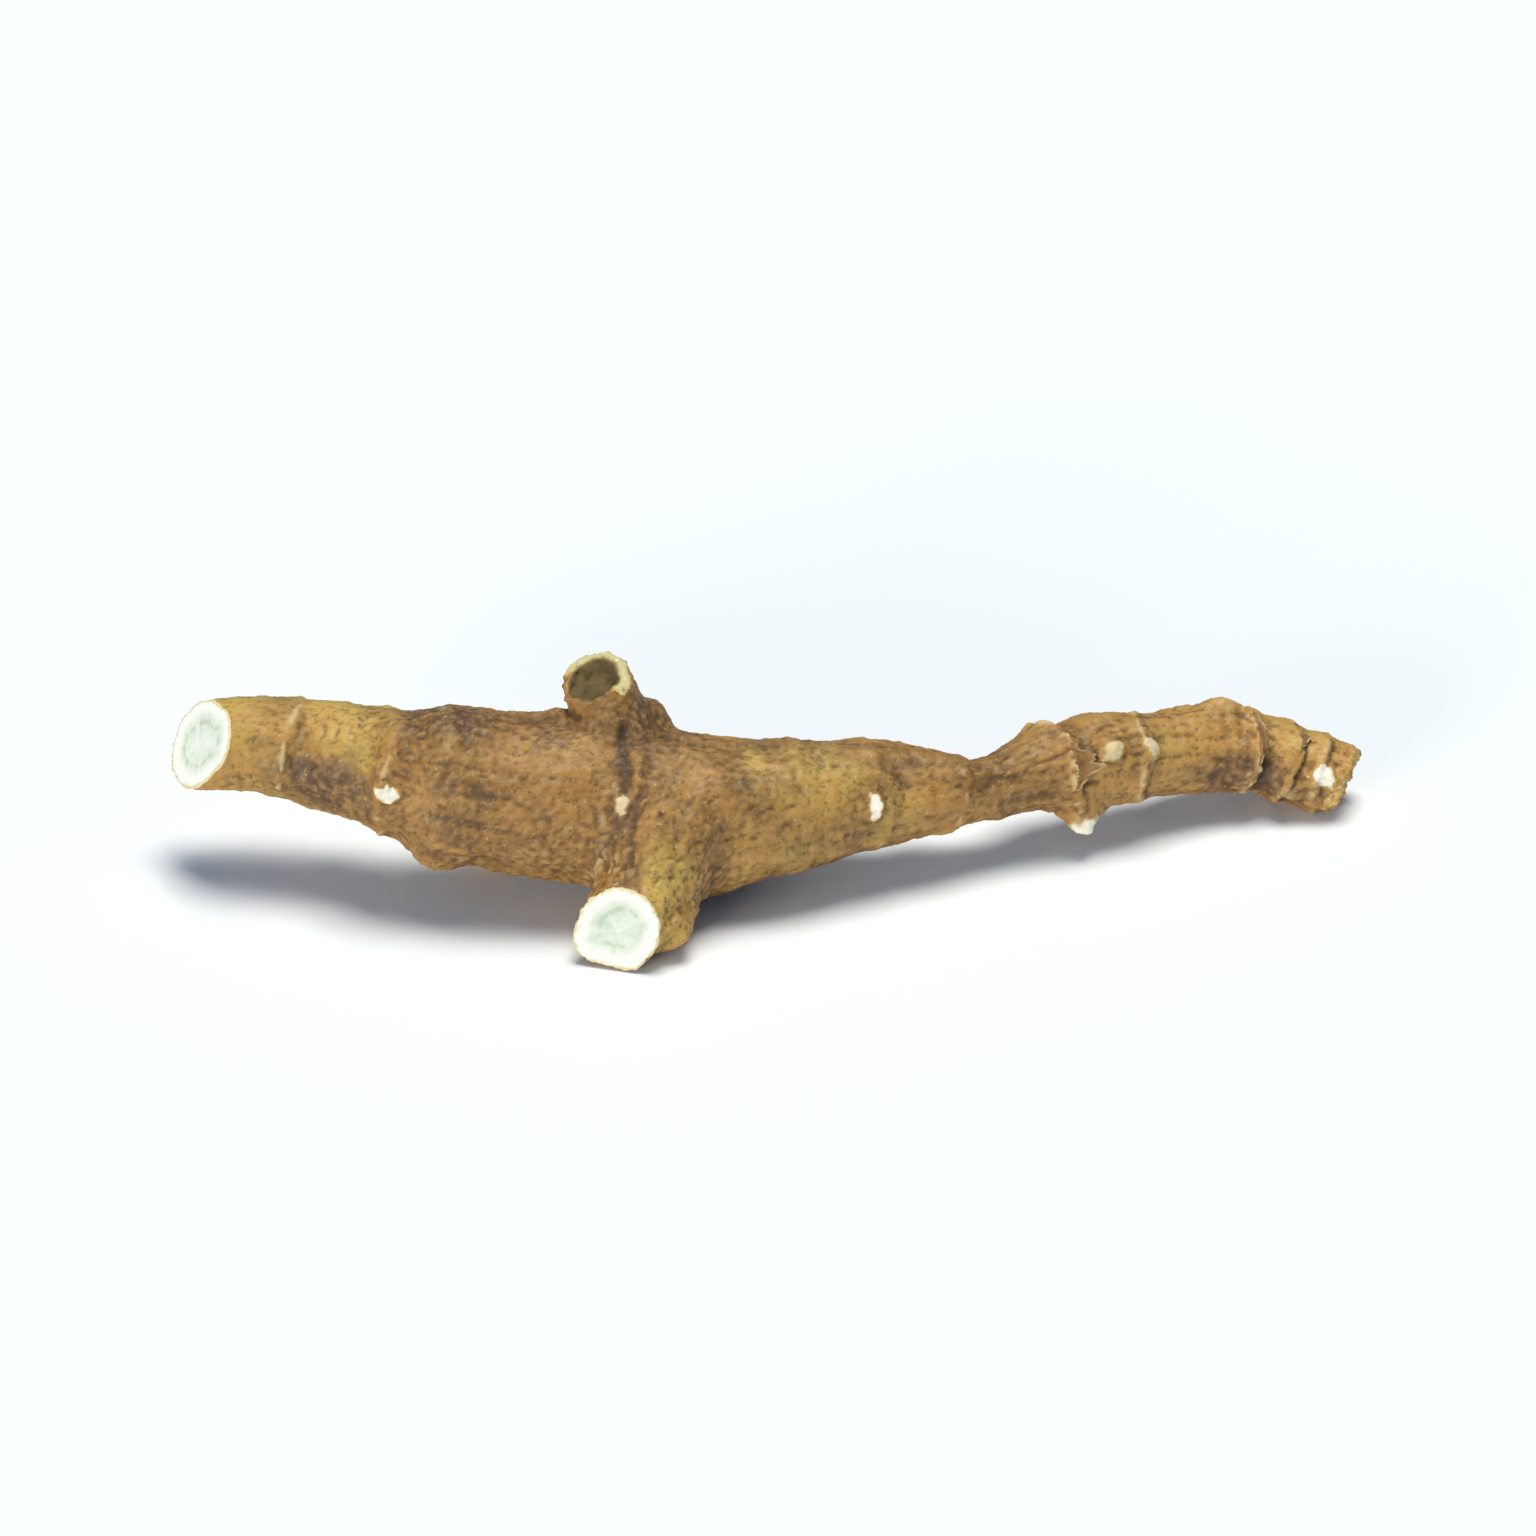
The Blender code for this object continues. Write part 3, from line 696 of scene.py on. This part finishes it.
def shade_fields(skin):
    """Where the bark is golden and dusky, with painted light on the forward stub's right flank and the
    arm's top and painted shade on the belly's top, and where it is the arm's and the tail's.
    """
    golden_and_painted_light = patches(skin, GOLDEN_AND_HIGHLIGHT_PATCHES) * skin.on_body
    dusky_and_painted_shade = np.maximum(patches(skin, DUSKY_AND_SHADE_PATCHES), 0.9 * step_between(0.25, -0.05, skin.depth[CREST]))
    # Painted light: the forward stub's right flank is laid golden and kept free of dusky blotches, as if
    # lit.
    flank = (skin.owner == FORWARD) * step_between(-3.2, -2.7, skin.points[:, 0])
    dusky_and_painted_shade *= 1.0 - flank * step_between(-2.6, -3.1, skin.points[:, 1])
    golden_and_painted_light = np.maximum(golden_and_painted_light, flank * step_between(-3.0, -3.65, skin.points[:, 1]))
    golden_and_painted_light = np.maximum(golden_and_painted_light, 0.6 * (skin.owner == BUD))
    arm = step_between(-8.6, -9.3, skin.x + 0.25 * noise_over(skin.points, 0.8))
    along = skin.x + 0.5 * noise_over(skin.points, 0.9)
    tail = 0.62 * step_between(5.4, 7.4, along) + 0.38 * step_between(8.0, 10.5, along)
    return golden_and_painted_light, dusky_and_painted_shade, arm, tail


def grow_skin(bark, flesh):
    """The fine skin of the whole rhizome, shaped, with the values that its materials read."""
    made = even_copy(NODE, "rhizome_skin", bark.mesh_step)
    skin = Skin(made.data)
    skin.find_stems()

    flat = np.zeros(len(skin.points), bool)
    for face, owners in CUTS:
        flat |= face_points(skin, face, owners)
    skin.smooth(np.where(flat, 0.0, 1.0), SMOOTHING_ROUNDS)
    skin.write()

    hollow, broken_rim, bright_rim, torn, spur_tip = break_fields(skin)
    inside, rays = dress_cut_faces(skin, flesh)
    on_cut = inside > 0
    bark_share = (~on_cut) * (1.0 - hollow) * (1.0 - torn) * (1.0 - broken_rim)

    relief, peeled, warts = bark_relief(skin, bark)
    pale, dark, ring_height = ring_fields(skin)
    core, scar_rim_shade, scar_height = scar_fields(skin)
    height = (relief + ring_height + scar_height) * bark_share
    crumbs, _ = cells_over(skin.points, 0.3)
    height += torn * (0.16 * (0.5 - crumbs) + 0.05 * noise_over(skin.points, 0.12))
    splinters = 0.09 * noise_over(skin.points, 0.28) + 0.04 * noise_over(skin.points, 0.1)
    height += (hollow + broken_rim) * splinters
    knobs = 0.14 * noise_over(skin.points + 2.0, 0.8) + 0.06 * noise_over(skin.points, 0.35)
    height += (skin.owner == ROOT) * knobs * step_between(0.0, 0.7, skin.points[:, 2])
    grounded = step_between(0.0, 0.12, skin.points[:, 2])
    skin.points += skin.normals * (height * grounded)[:, None]
    skin.write()

    golden_and_painted_light, dusky_and_painted_shade, arm, tail = shade_fields(skin)
    fine = skin.stands_out(4) / 0.008
    broad = skin.stands_out(40) / 0.05
    notes = {
        "golden_and_painted_light": golden_and_painted_light,
        "dusky_and_painted_shade": dusky_and_painted_shade,
        "arm": arm,
        "tail": tail,
        "leaf_rest": np.maximum(pale, 0.75 * spur_tip),
        # Ring creases, painted as dirt and shade, and rims of painted shade round the root scars.
        "crease": np.clip(dark + 0.7 * scar_rim_shade, 0.0, 1.0),
        # Painted shade where the skin lies sunk below its surroundings.
        "painted_sunk_shade": np.clip(-0.6 * fine - 0.7 * broad - 0.1, 0.0, 1.0) * bark_share,
        "worn": np.clip(0.5 * fine + 0.6 * broad - 0.2, 0.0, 1.0) * bark_share,
        "warts": warts * bark_share,
        "peeled": peeled,
        "root_core": np.maximum(core, 0.8 * spur_tip),
        "inside": inside,
        "over_cut": height_over_cuts(skin),
        "rays": rays,
        "hollow": hollow,
        "torn": torn,
        "broken_rim": bright_rim,
    }
    for name, values in notes.items():
        skin.note(name, values)
    return made


def add_node(tree, kind, inputs=None, **settings):
    """Adds a node with its settings and links."""
    node = tree.nodes.new(kind)
    for name, value in settings.items():
        setattr(node, name, value)
    set_inputs(tree, node, inputs or {})
    return node


def set_inputs(tree, node, inputs):
    """Sets inputs of a node, each to a value or to the output that is linked to it."""
    for name, value in inputs.items():
        if isinstance(value, bpy.types.NodeSocket):
            tree.links.new(value, node.inputs[name])
        else:
            node.inputs[name].default_value = value


def speckle(tree, place, size, low, high, detail=3.0, stretch=1.0):
    """Noise with features of that size in mm, as a smooth step from 0 to 1 between two levels."""
    mapped = add_node(tree, "ShaderNodeMapping", {"Vector": place, "Scale": (1 / stretch, 1.0, 1.0)})
    texture = {"Vector": mapped.outputs[0], "Scale": 1 / (size * MM), "Detail": detail, "Roughness": 0.6}
    pattern = add_node(tree, "ShaderNodeTexNoise", texture).outputs["Fac"]
    levels = {"Value": pattern, "From Min": low, "From Max": high}
    return add_node(tree, "ShaderNodeMapRange", levels, interpolation_type="SMOOTHSTEP").outputs[0]


def noted_step(tree, name, low, high, least=0.0, most=1.0):
    """A value that the skin keeps, as a smooth step from least to most between two levels."""
    value = add_node(tree, "ShaderNodeAttribute", attribute_name=name).outputs["Fac"]
    levels = {"Value": value, "From Min": low, "From Max": high, "To Min": least, "To Max": most}
    return add_node(tree, "ShaderNodeMapRange", levels, interpolation_type="SMOOTHSTEP").outputs[0]


def layered(tree, colour, *layers):
    """A colour with others laid over it in turn.

    A layer is its colour and what its share is the product of: numbers, outputs of nodes and names
    of values that the skin keeps.
    """
    under = (*colour, 1.0)
    for over, *factors in layers:
        share = 1.0
        for factor in factors:
            if isinstance(factor, str):
                factor = add_node(tree, "ShaderNodeAttribute", attribute_name=factor).outputs["Fac"]
            both = {0: share, 1: factor}
            share = add_node(tree, "ShaderNodeMath", both, operation="MULTIPLY").outputs[0]
        inputs = {0: share, 6: under, 7: (*over, 1.0)}
        under = add_node(tree, "ShaderNodeMix", inputs, data_type="RGBA", clamp_factor=True).outputs[2]
    return under


def dry_grain(tree, place, size, strength, height):
    """Normals of a dry grain of that size and height in mm, drawn as coarse as it shows."""
    texture = {"Vector": place, "Scale": 1 / (size * MM), "Detail": 3.0}
    grain = add_node(tree, "ShaderNodeTexNoise", texture).outputs["Fac"]
    relief = {"Height": grain, "Strength": strength, "Distance": height * MM}
    return add_node(tree, "ShaderNodeBump", relief).outputs[0]


def new_material(name):
    """A material with its shader, and the place on the object that its patterns follow."""
    material = bpy.data.materials.new(name)
    material.use_nodes = True
    tree = material.node_tree
    place = add_node(tree, "ShaderNodeTexCoord").outputs["Object"]
    return material, tree, tree.nodes["Principled BSDF"], place


def bark_material(bark, flesh):
    """Air-dried cork bark: thin, waxy and a little glossy where it is whole, dull where it peeled."""
    material, tree, shader, place = new_material("air_dried_cork_bark")
    crumbly = speckle(tree, place, 0.07, 0.22, 0.45)
    colour = layered(
        tree,
        bark.body_colour,
        # Older bark, the tail, the arm, and the young golden parts with painted light on the stub's flank
        # and the arm's top.
        (bark.shade_colour, speckle(tree, place, 1.6, 0.44, 0.66, 5.0)),
        (bark.tail_colour, "tail", 0.9),
        (bark.golden_colour, "arm", 0.3),
        (bark.golden_colour, "golden_and_painted_light", speckle(tree, place, 0.7, 0.3, 0.56, 5.0, stretch=1.5)),
        # A rubbed veil, dull blotches with painted shade on the belly's top, and fibres along the stem.
        (bark.light_colour, speckle(tree, place, 0.5, 0.5, 0.66, 5.0, stretch=1.5), 0.45),
        (bark.dusky_colour, "dusky_and_painted_shade", speckle(tree, place, 0.45, 0.27, 0.52, 5.0, stretch=1.6)),
        (bark.dusky_colour, speckle(tree, place, 0.55, 0.54, 0.68, 6.0, stretch=1.1), 0.5),
        (bark.shade_colour, speckle(tree, place, 0.1, 0.48, 0.72, 4.0, stretch=2.0), 0.4),
        # Peeled cork, worn heights, warts, dark specks of dirt, painted shade in sunk places, and creases
        # painted as dirt and shade.
        (bark.light_colour, "peeled", 0.3),
        (bark.light_colour, "worn", 0.5),
        (bark.paper_colour, "warts", 0.3),
        (bark.dirt_and_shade_colour, speckle(tree, place, 0.16, 0.63, 0.73, 2.0), 0.5),
        (bark.paper_colour, speckle(tree, place, 0.1, 0.66, 0.74, 2.0), 0.6),
        # Painted shade in sunk places.
        (bark.dirt_and_shade_colour, "painted_sunk_shade", 0.55),
        # Creases painted as dirt and shade, with painted shade round the root scars.
        (bark.dirt_and_shade_colour, "crease", 0.8),
        # Leaf rests, broken roots, and the flesh's yellowed edge where a cut bares it.
        (bark.paper_colour, "leaf_rest"),
        (bark.paper_colour, noted_step(tree, "root_core", 0.05, 0.45)),
        (bark.core_colour, noted_step(tree, "root_core", 0.3, 0.9), crumbly),
        (flesh.edge_colour, noted_step(tree, "over_cut", -0.05, -0.03)),
    )

    # Cork wax has an IOR near 1.45, and dries to a soft sheen.
    levels = {"Value": speckle(tree, place, 0.3, 0.3, 0.7), "To Min": 0.46, "To Max": 0.68}
    rough = add_node(tree, "ShaderNodeMapRange", levels, interpolation_type="SMOOTHSTEP").outputs[0]
    grain = dry_grain(tree, place, 0.05, 0.6, 0.014)
    finish = {"IOR": 1.45, "Roughness": rough, "Specular IOR Level": 0.4, "Normal": grain}
    set_inputs(tree, shader, {"Base Color": colour, **finish})
    return material


def flesh_material(flesh):
    """Starchy flesh, cut with a knife and dried: chalky, dead matt, whitest in its outer layer."""
    material, tree, shader, place = new_material("knife_cut_starchy_flesh")
    wide = flesh.rim_width / MM
    ring = flesh.ring_depth / MM
    colour = layered(
        tree,
        flesh.rim_colour,
        (flesh.edge_colour, noted_step(tree, "inside", 0.01, 0.08, 1.0, 0.0)),
        (flesh.inner_colour, noted_step(tree, "inside", wide * 0.6, wide * 1.5)),
        # A faint ring that comes and goes, and thin rays to the middle.
        (
            flesh.ring_colour,
            noted_step(tree, "inside", ring - 0.12, ring),
            noted_step(tree, "inside", ring, ring + 0.1, 1.0, 0.0),
            speckle(tree, place, 0.28, 0.4, 0.6),
            0.7,
        ),
        (flesh.ring_colour, "rays", noted_step(tree, "inside", wide * 0.5, wide * 1.3), 0.45),
        (flesh.rim_colour, noted_step(tree, "inside", ring + 0.1, ring + 0.4), 0.25),
        (flesh.ring_colour, speckle(tree, place, 0.09, 0.5, 0.75), 0.35),
    )

    # Starch has an IOR near 1.53, but its powdery surface hardly shines.
    grain = dry_grain(tree, place, 0.06, 0.5, 0.015)
    finish = {"IOR": 1.53, "Roughness": 0.85, "Specular IOR Level": 0.3, "Normal": grain}
    set_inputs(tree, shader, {"Base Color": colour, **finish})
    return material


def broken_material(flesh, bark):
    """Torn, air-dried pith and wood: crumbly, dull, dark where it is hollow, pale gold where fresh."""
    material, tree, shader, place = new_material("torn_dry_pith")
    colour = layered(
        tree,
        flesh.break_colour,
        (bark.tail_colour, speckle(tree, place, 0.3, 0.35, 0.6)),
        (flesh.rind_colour, "broken_rim"),
        (bark.core_colour, speckle(tree, place, 0.18, 0.6, 0.7), 0.7),
        (flesh.pith_colour, "hollow"),
        (bark.dirt_and_shade_colour, speckle(tree, place, 0.22, 0.56, 0.68), 0.5),
    )

    # Dry cell walls have an IOR near 1.5, and a torn surface scatters nearly all light.
    grain = dry_grain(tree, place, 0.05, 0.7, 0.02)
    finish = {"IOR": 1.5, "Roughness": 0.9, "Specular IOR Level": 0.25, "Normal": grain}
    set_inputs(tree, shader, {"Base Color": colour, **finish})
    return material


def face_means(mesh, name):
    """The mean of a noted value over each face."""
    values = read_all(mesh.attributes[name].data, "value")
    corners = read_all(mesh.loops, "vertex_index", int)
    starts = read_all(mesh.polygons, "loop_start", int)
    sizes = read_all(mesh.polygons, "loop_total", int)
    return np.add.reduceat(values[corners], starts) / sizes


class RHIZOME_OT_grow_skin(bpy.types.Operator):
    """Makes the fine skin over the solid, with its bark, cut flesh and torn ends"""

    bl_idname = "rhizome.grow_skin"
    bl_label = "Grow the Skin"

    def execute(self, context):
        bark, flesh = context.scene.rhizome_bark, context.scene.rhizome_flesh
        made = grow_skin(bark, flesh)
        mesh = made.data
        mesh.materials.clear()
        materials = (bark_material(bark, flesh), flesh_material(flesh), broken_material(flesh, bark))
        for material in materials:
            mesh.materials.append(material)
        cut = face_means(mesh, "inside") > 0.02
        torn = sum(face_means(mesh, name) for name in ("hollow", "torn", "broken_rim")) > 0.4
        kinds = np.where(cut, 1, np.where(torn, 2, 0)).astype(np.int32)
        mesh.polygons.foreach_set("material_index", kinds)
        mesh.shade_smooth()
        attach(made, "root")
        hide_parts(NODE)
        return {"FINISHED"}


class Surface:
    """The finished skin, for placing what stands on it by x and clock angle."""

    def __init__(self, skin_object):
        self.tree = BVHTree.FromObject(skin_object, bpy.context.evaluated_depsgraph_get())
        self.stations = stations_on(SPINE)

    def at(self, x, clock):
        """The point of the skin there, the way out from it, and the way along the rhizome."""
        index = int(np.abs(self.stations[:, 0] - x).argmin())
        along = Vector(self.stations[index + 1, :3] - self.stations[index - 1, :3]).normalized()
        up = (Vector((0.0, 0.0, 1.0)) - along.z * along).normalized()
        out = up * math.cos(clock) + along.cross(up) * math.sin(clock)
        middle = Vector(self.stations[index, :3] + DRAWN_FROM) * MM
        place = self.tree.ray_cast(middle + out * OUTSIDE * MM, -out)[0]
        if place is None:
            raise RuntimeError(f"no skin at x {x:.2f}, clock {math.degrees(clock):.0f}")
        return place, out, along

    def on_ring(self, ring_x, clock):
        """X of a ring's line at that clock angle."""
        ring = next(row for row in RINGS if row[0] == ring_x)
        index = int(np.abs(self.stations[:, 0] - ring_x).argmin())
        tilt = ring[2] * self.stations[index, 3] / 2 * math.cos(clock - math.radians(ring[3]))
        return ring_x + RING_SWAY * math.sin(3 * clock + 2 * ring_x) + tilt


def scale_leaf(bm, edge, surface, leaf, number):
    """One ragged, pointed scale leaf that hugs the skin and stands up towards its torn tip."""
    ring_x, clock, half_angle, length, way, lift = leaf
    rows = []
    for row in range(LEAF_ROWS + 1):
        t = row / LEAF_ROWS
        points = []
        for column in range(LEAF_COLUMNS + 1):
            u = 2 * column / LEAF_COLUMNS - 1
            turn = math.radians(clock + half_angle * u * (1 - 0.15 * t))
            torn = 0.45 * noise.noise(Vector((3.1 * u, 7.3 * number, 0.0)))
            torn += 0.3 * noise.noise(Vector((11.0 * u, 3.7 * number, 5.0)))
            reach = length * max(0.12, (1 - abs(u) ** 1.5) * (1 + torn))
            x = surface.on_ring(ring_x, turn) + way * (reach * t - 0.05)
            place, out, _ = surface.at(x, turn)
            curl = lift * t * t * (1 + 1.5 * torn) + 0.012
            point = bm.verts.new(place + out * (curl - 0.04 * (1 - t) ** 3) * MM)
            faded = 0.6 + 0.8 * noise.noise(Vector((4.0 * u, 2.0 * t, 1.3 * number)))
            point[edge] = max(t**4, 0.6 * abs(u) ** 8) * min(1.0, max(0.0, faded))
            points.append(point)
        rows.append(points)
    for near, far in zip(rows, rows[1:]):
        for i in range(LEAF_COLUMNS):
            corners = (near[i], near[i + 1], far[i + 1], far[i])
            bm.faces.new(corners if way > 0 else corners[::-1])


def leaf_material(leaves):
    """Dried scale leaf: thin, papery and veined, brown at its foot and bleached where it is torn."""
    material, tree, shader, place = new_material("papery_scale_leaf")
    veins = speckle(tree, place, leaves.vein_spacing / MM, 0.45, 0.65, 2.0, stretch=8.0)
    colour = layered(
        tree,
        leaves.leaf_colour,
        (leaves.stain_colour, speckle(tree, place, 0.4, 0.4, 0.62, 5.0, stretch=1.5), 0.8),
        (leaves.leaf_edge_colour, noted_step(tree, "edge", 0.15, 0.9), 0.85),
        (leaves.leaf_colour, veins, 0.5),
    )

    # Dry plant fibre has an IOR near 1.46.
    set_inputs(tree, shader, {"Base Color": colour, "IOR": 1.46, "Roughness": 0.62})
    return material


class RHIZOME_OT_add_scale_leaves(bpy.types.Operator):
    """Stands the rests of the scale leaves on their rings"""

    bl_idname = "rhizome.add_scale_leaves"
    bl_label = "Add the Scale Leaves"

    def execute(self, context):
        surface = Surface(bpy.data.objects["rhizome_skin"])
        bm = bmesh.new()
        edge = bm.verts.layers.float.new("edge")
        for number, leaf in enumerate(SCALE_LEAVES):
            scale_leaf(bm, edge, surface, leaf, number)
        mesh = bpy.data.meshes.new("scale_leaf_rests")
        bm.to_mesh(mesh)
        bm.free()
        mesh.materials.append(leaf_material(context.scene.rhizome_leaves))
        mesh.shade_smooth()
        made = bpy.data.objects.new("scale_leaf_rests", mesh)
        context.scene.collection.objects.link(made)
        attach(made, "root")
        thick = made.modifiers.new("Paper", "SOLIDIFY")
        thick.thickness = context.scene.rhizome_leaves.thickness
        thick.offset = 1.0
        apply_modifiers(made)
        return {"FINISHED"}


class RHIZOME_OT_set_stage(bpy.types.Operator):
    """Lays the white table and sets the lights and the camera"""

    bl_idname = "rhizome.set_stage"
    bl_label = "Set the Stage"

    def execute(self, context):
        stage = context.scene.rhizome_stage
        bpy.ops.mesh.primitive_plane_add(size=3.0, location=(0.0, 0.0, -0.005 * MM))
        table = context.object
        table.name = "white_table"
        # Uncoated white card: even and matt, so it shows soft shadows and no reflections.
        material, tree, shader, _ = new_material("matt_white_card")
        white = (*stage.floor_colour, 1.0)
        set_inputs(tree, shader, {"Base Color": white, "Roughness": 0.9, "Specular IOR Level": 0.2})
        table.data.materials.append(material)

        middle = (CAD_LOW + CAD_HIGH) / 2
        for name, size, watts, colour, place in SOFTBOXES:
            data = bpy.data.lights.new(name, "AREA")
            data.shape = "RECTANGLE"
            data.size, data.size_y = size
            data.energy = watts * stage.key_strength
            data.color = linear(colour)
            light = bpy.data.objects.new(name, data)
            context.scene.collection.objects.link(light)
            light.location = place
            way = Vector(middle) - Vector(place)
            light.rotation_euler = way.to_track_quat("-Z", "Y").to_euler()
        world = bpy.data.worlds.new("pale_room")
        world.use_nodes = True
        fill = {"Color": (*stage.sky_colour, 1.0), "Strength": stage.fill_strength}
        set_inputs(world.node_tree, world.node_tree.nodes["Background"], fill)
        context.scene.world = world
        context.scene.view_settings.view_transform = "Standard"

        data = bpy.data.cameras.new("table_camera")
        data.lens = stage.lens
        data.clip_start = 0.01
        camera = bpy.data.objects.new("table_camera", data)
        context.scene.collection.objects.link(camera)
        back = Vector((0.0, -math.cos(stage.elevation), math.sin(stage.elevation)))
        camera.location = middle + back * stage.distance
        camera.rotation_euler = (-back).to_track_quat("-Z", "Y").to_euler()
        context.scene.camera = camera
        return {"FINISHED"}


class RHIZOME_PT_panel(bpy.types.Panel):
    """Lists the rhizome's pieces and their settings"""

    bl_label = "Dried Rhizome"
    bl_idname = "RHIZOME_PT_panel"
    bl_space_type = "VIEW_3D"
    bl_region_type = "UI"
    bl_category = "Rhizome"

    def draw(self, context):
        scene = context.scene
        for operator, groups in (
            (RHIZOME_OT_grow_skin, (scene.rhizome_bark, scene.rhizome_flesh)),
            (RHIZOME_OT_add_scale_leaves, (scene.rhizome_leaves,)),
            (RHIZOME_OT_set_stage, (scene.rhizome_stage,)),
        ):
            column = self.layout.column()
            column.operator(operator.bl_idname)
            for settings in groups:
                for name in settings.__annotations__:
                    column.prop(settings, name)


SETTINGS = {
    "rhizome_bark": RhizomeBarkSettings,
    "rhizome_flesh": RhizomeFleshSettings,
    "rhizome_leaves": RhizomeLeafSettings,
    "rhizome_stage": RhizomeStageSettings,
}
CLASSES = (
    *SETTINGS.values(),
    RHIZOME_OT_grow_skin,
    RHIZOME_OT_add_scale_leaves,
    RHIZOME_OT_set_stage,
    RHIZOME_PT_panel,
)


def register():
    """Makes the settings, operators and panel known to Blender."""
    for made in CLASSES:
        bpy.utils.register_class(made)
    for name, group in SETTINGS.items():
        setattr(bpy.types.Scene, name, PointerProperty(type=group))


def unregister():
    """Takes them out again."""
    for name in SETTINGS:
        delattr(bpy.types.Scene, name)
    for made in reversed(CLASSES):
        bpy.utils.unregister_class(made)


def main():
    """Makes every piece and the stage."""
    register()
    bpy.ops.rhizome.grow_skin()
    bpy.ops.rhizome.add_scale_leaves()
    bpy.ops.rhizome.set_stage()


if __name__ == "__main__":
    main()
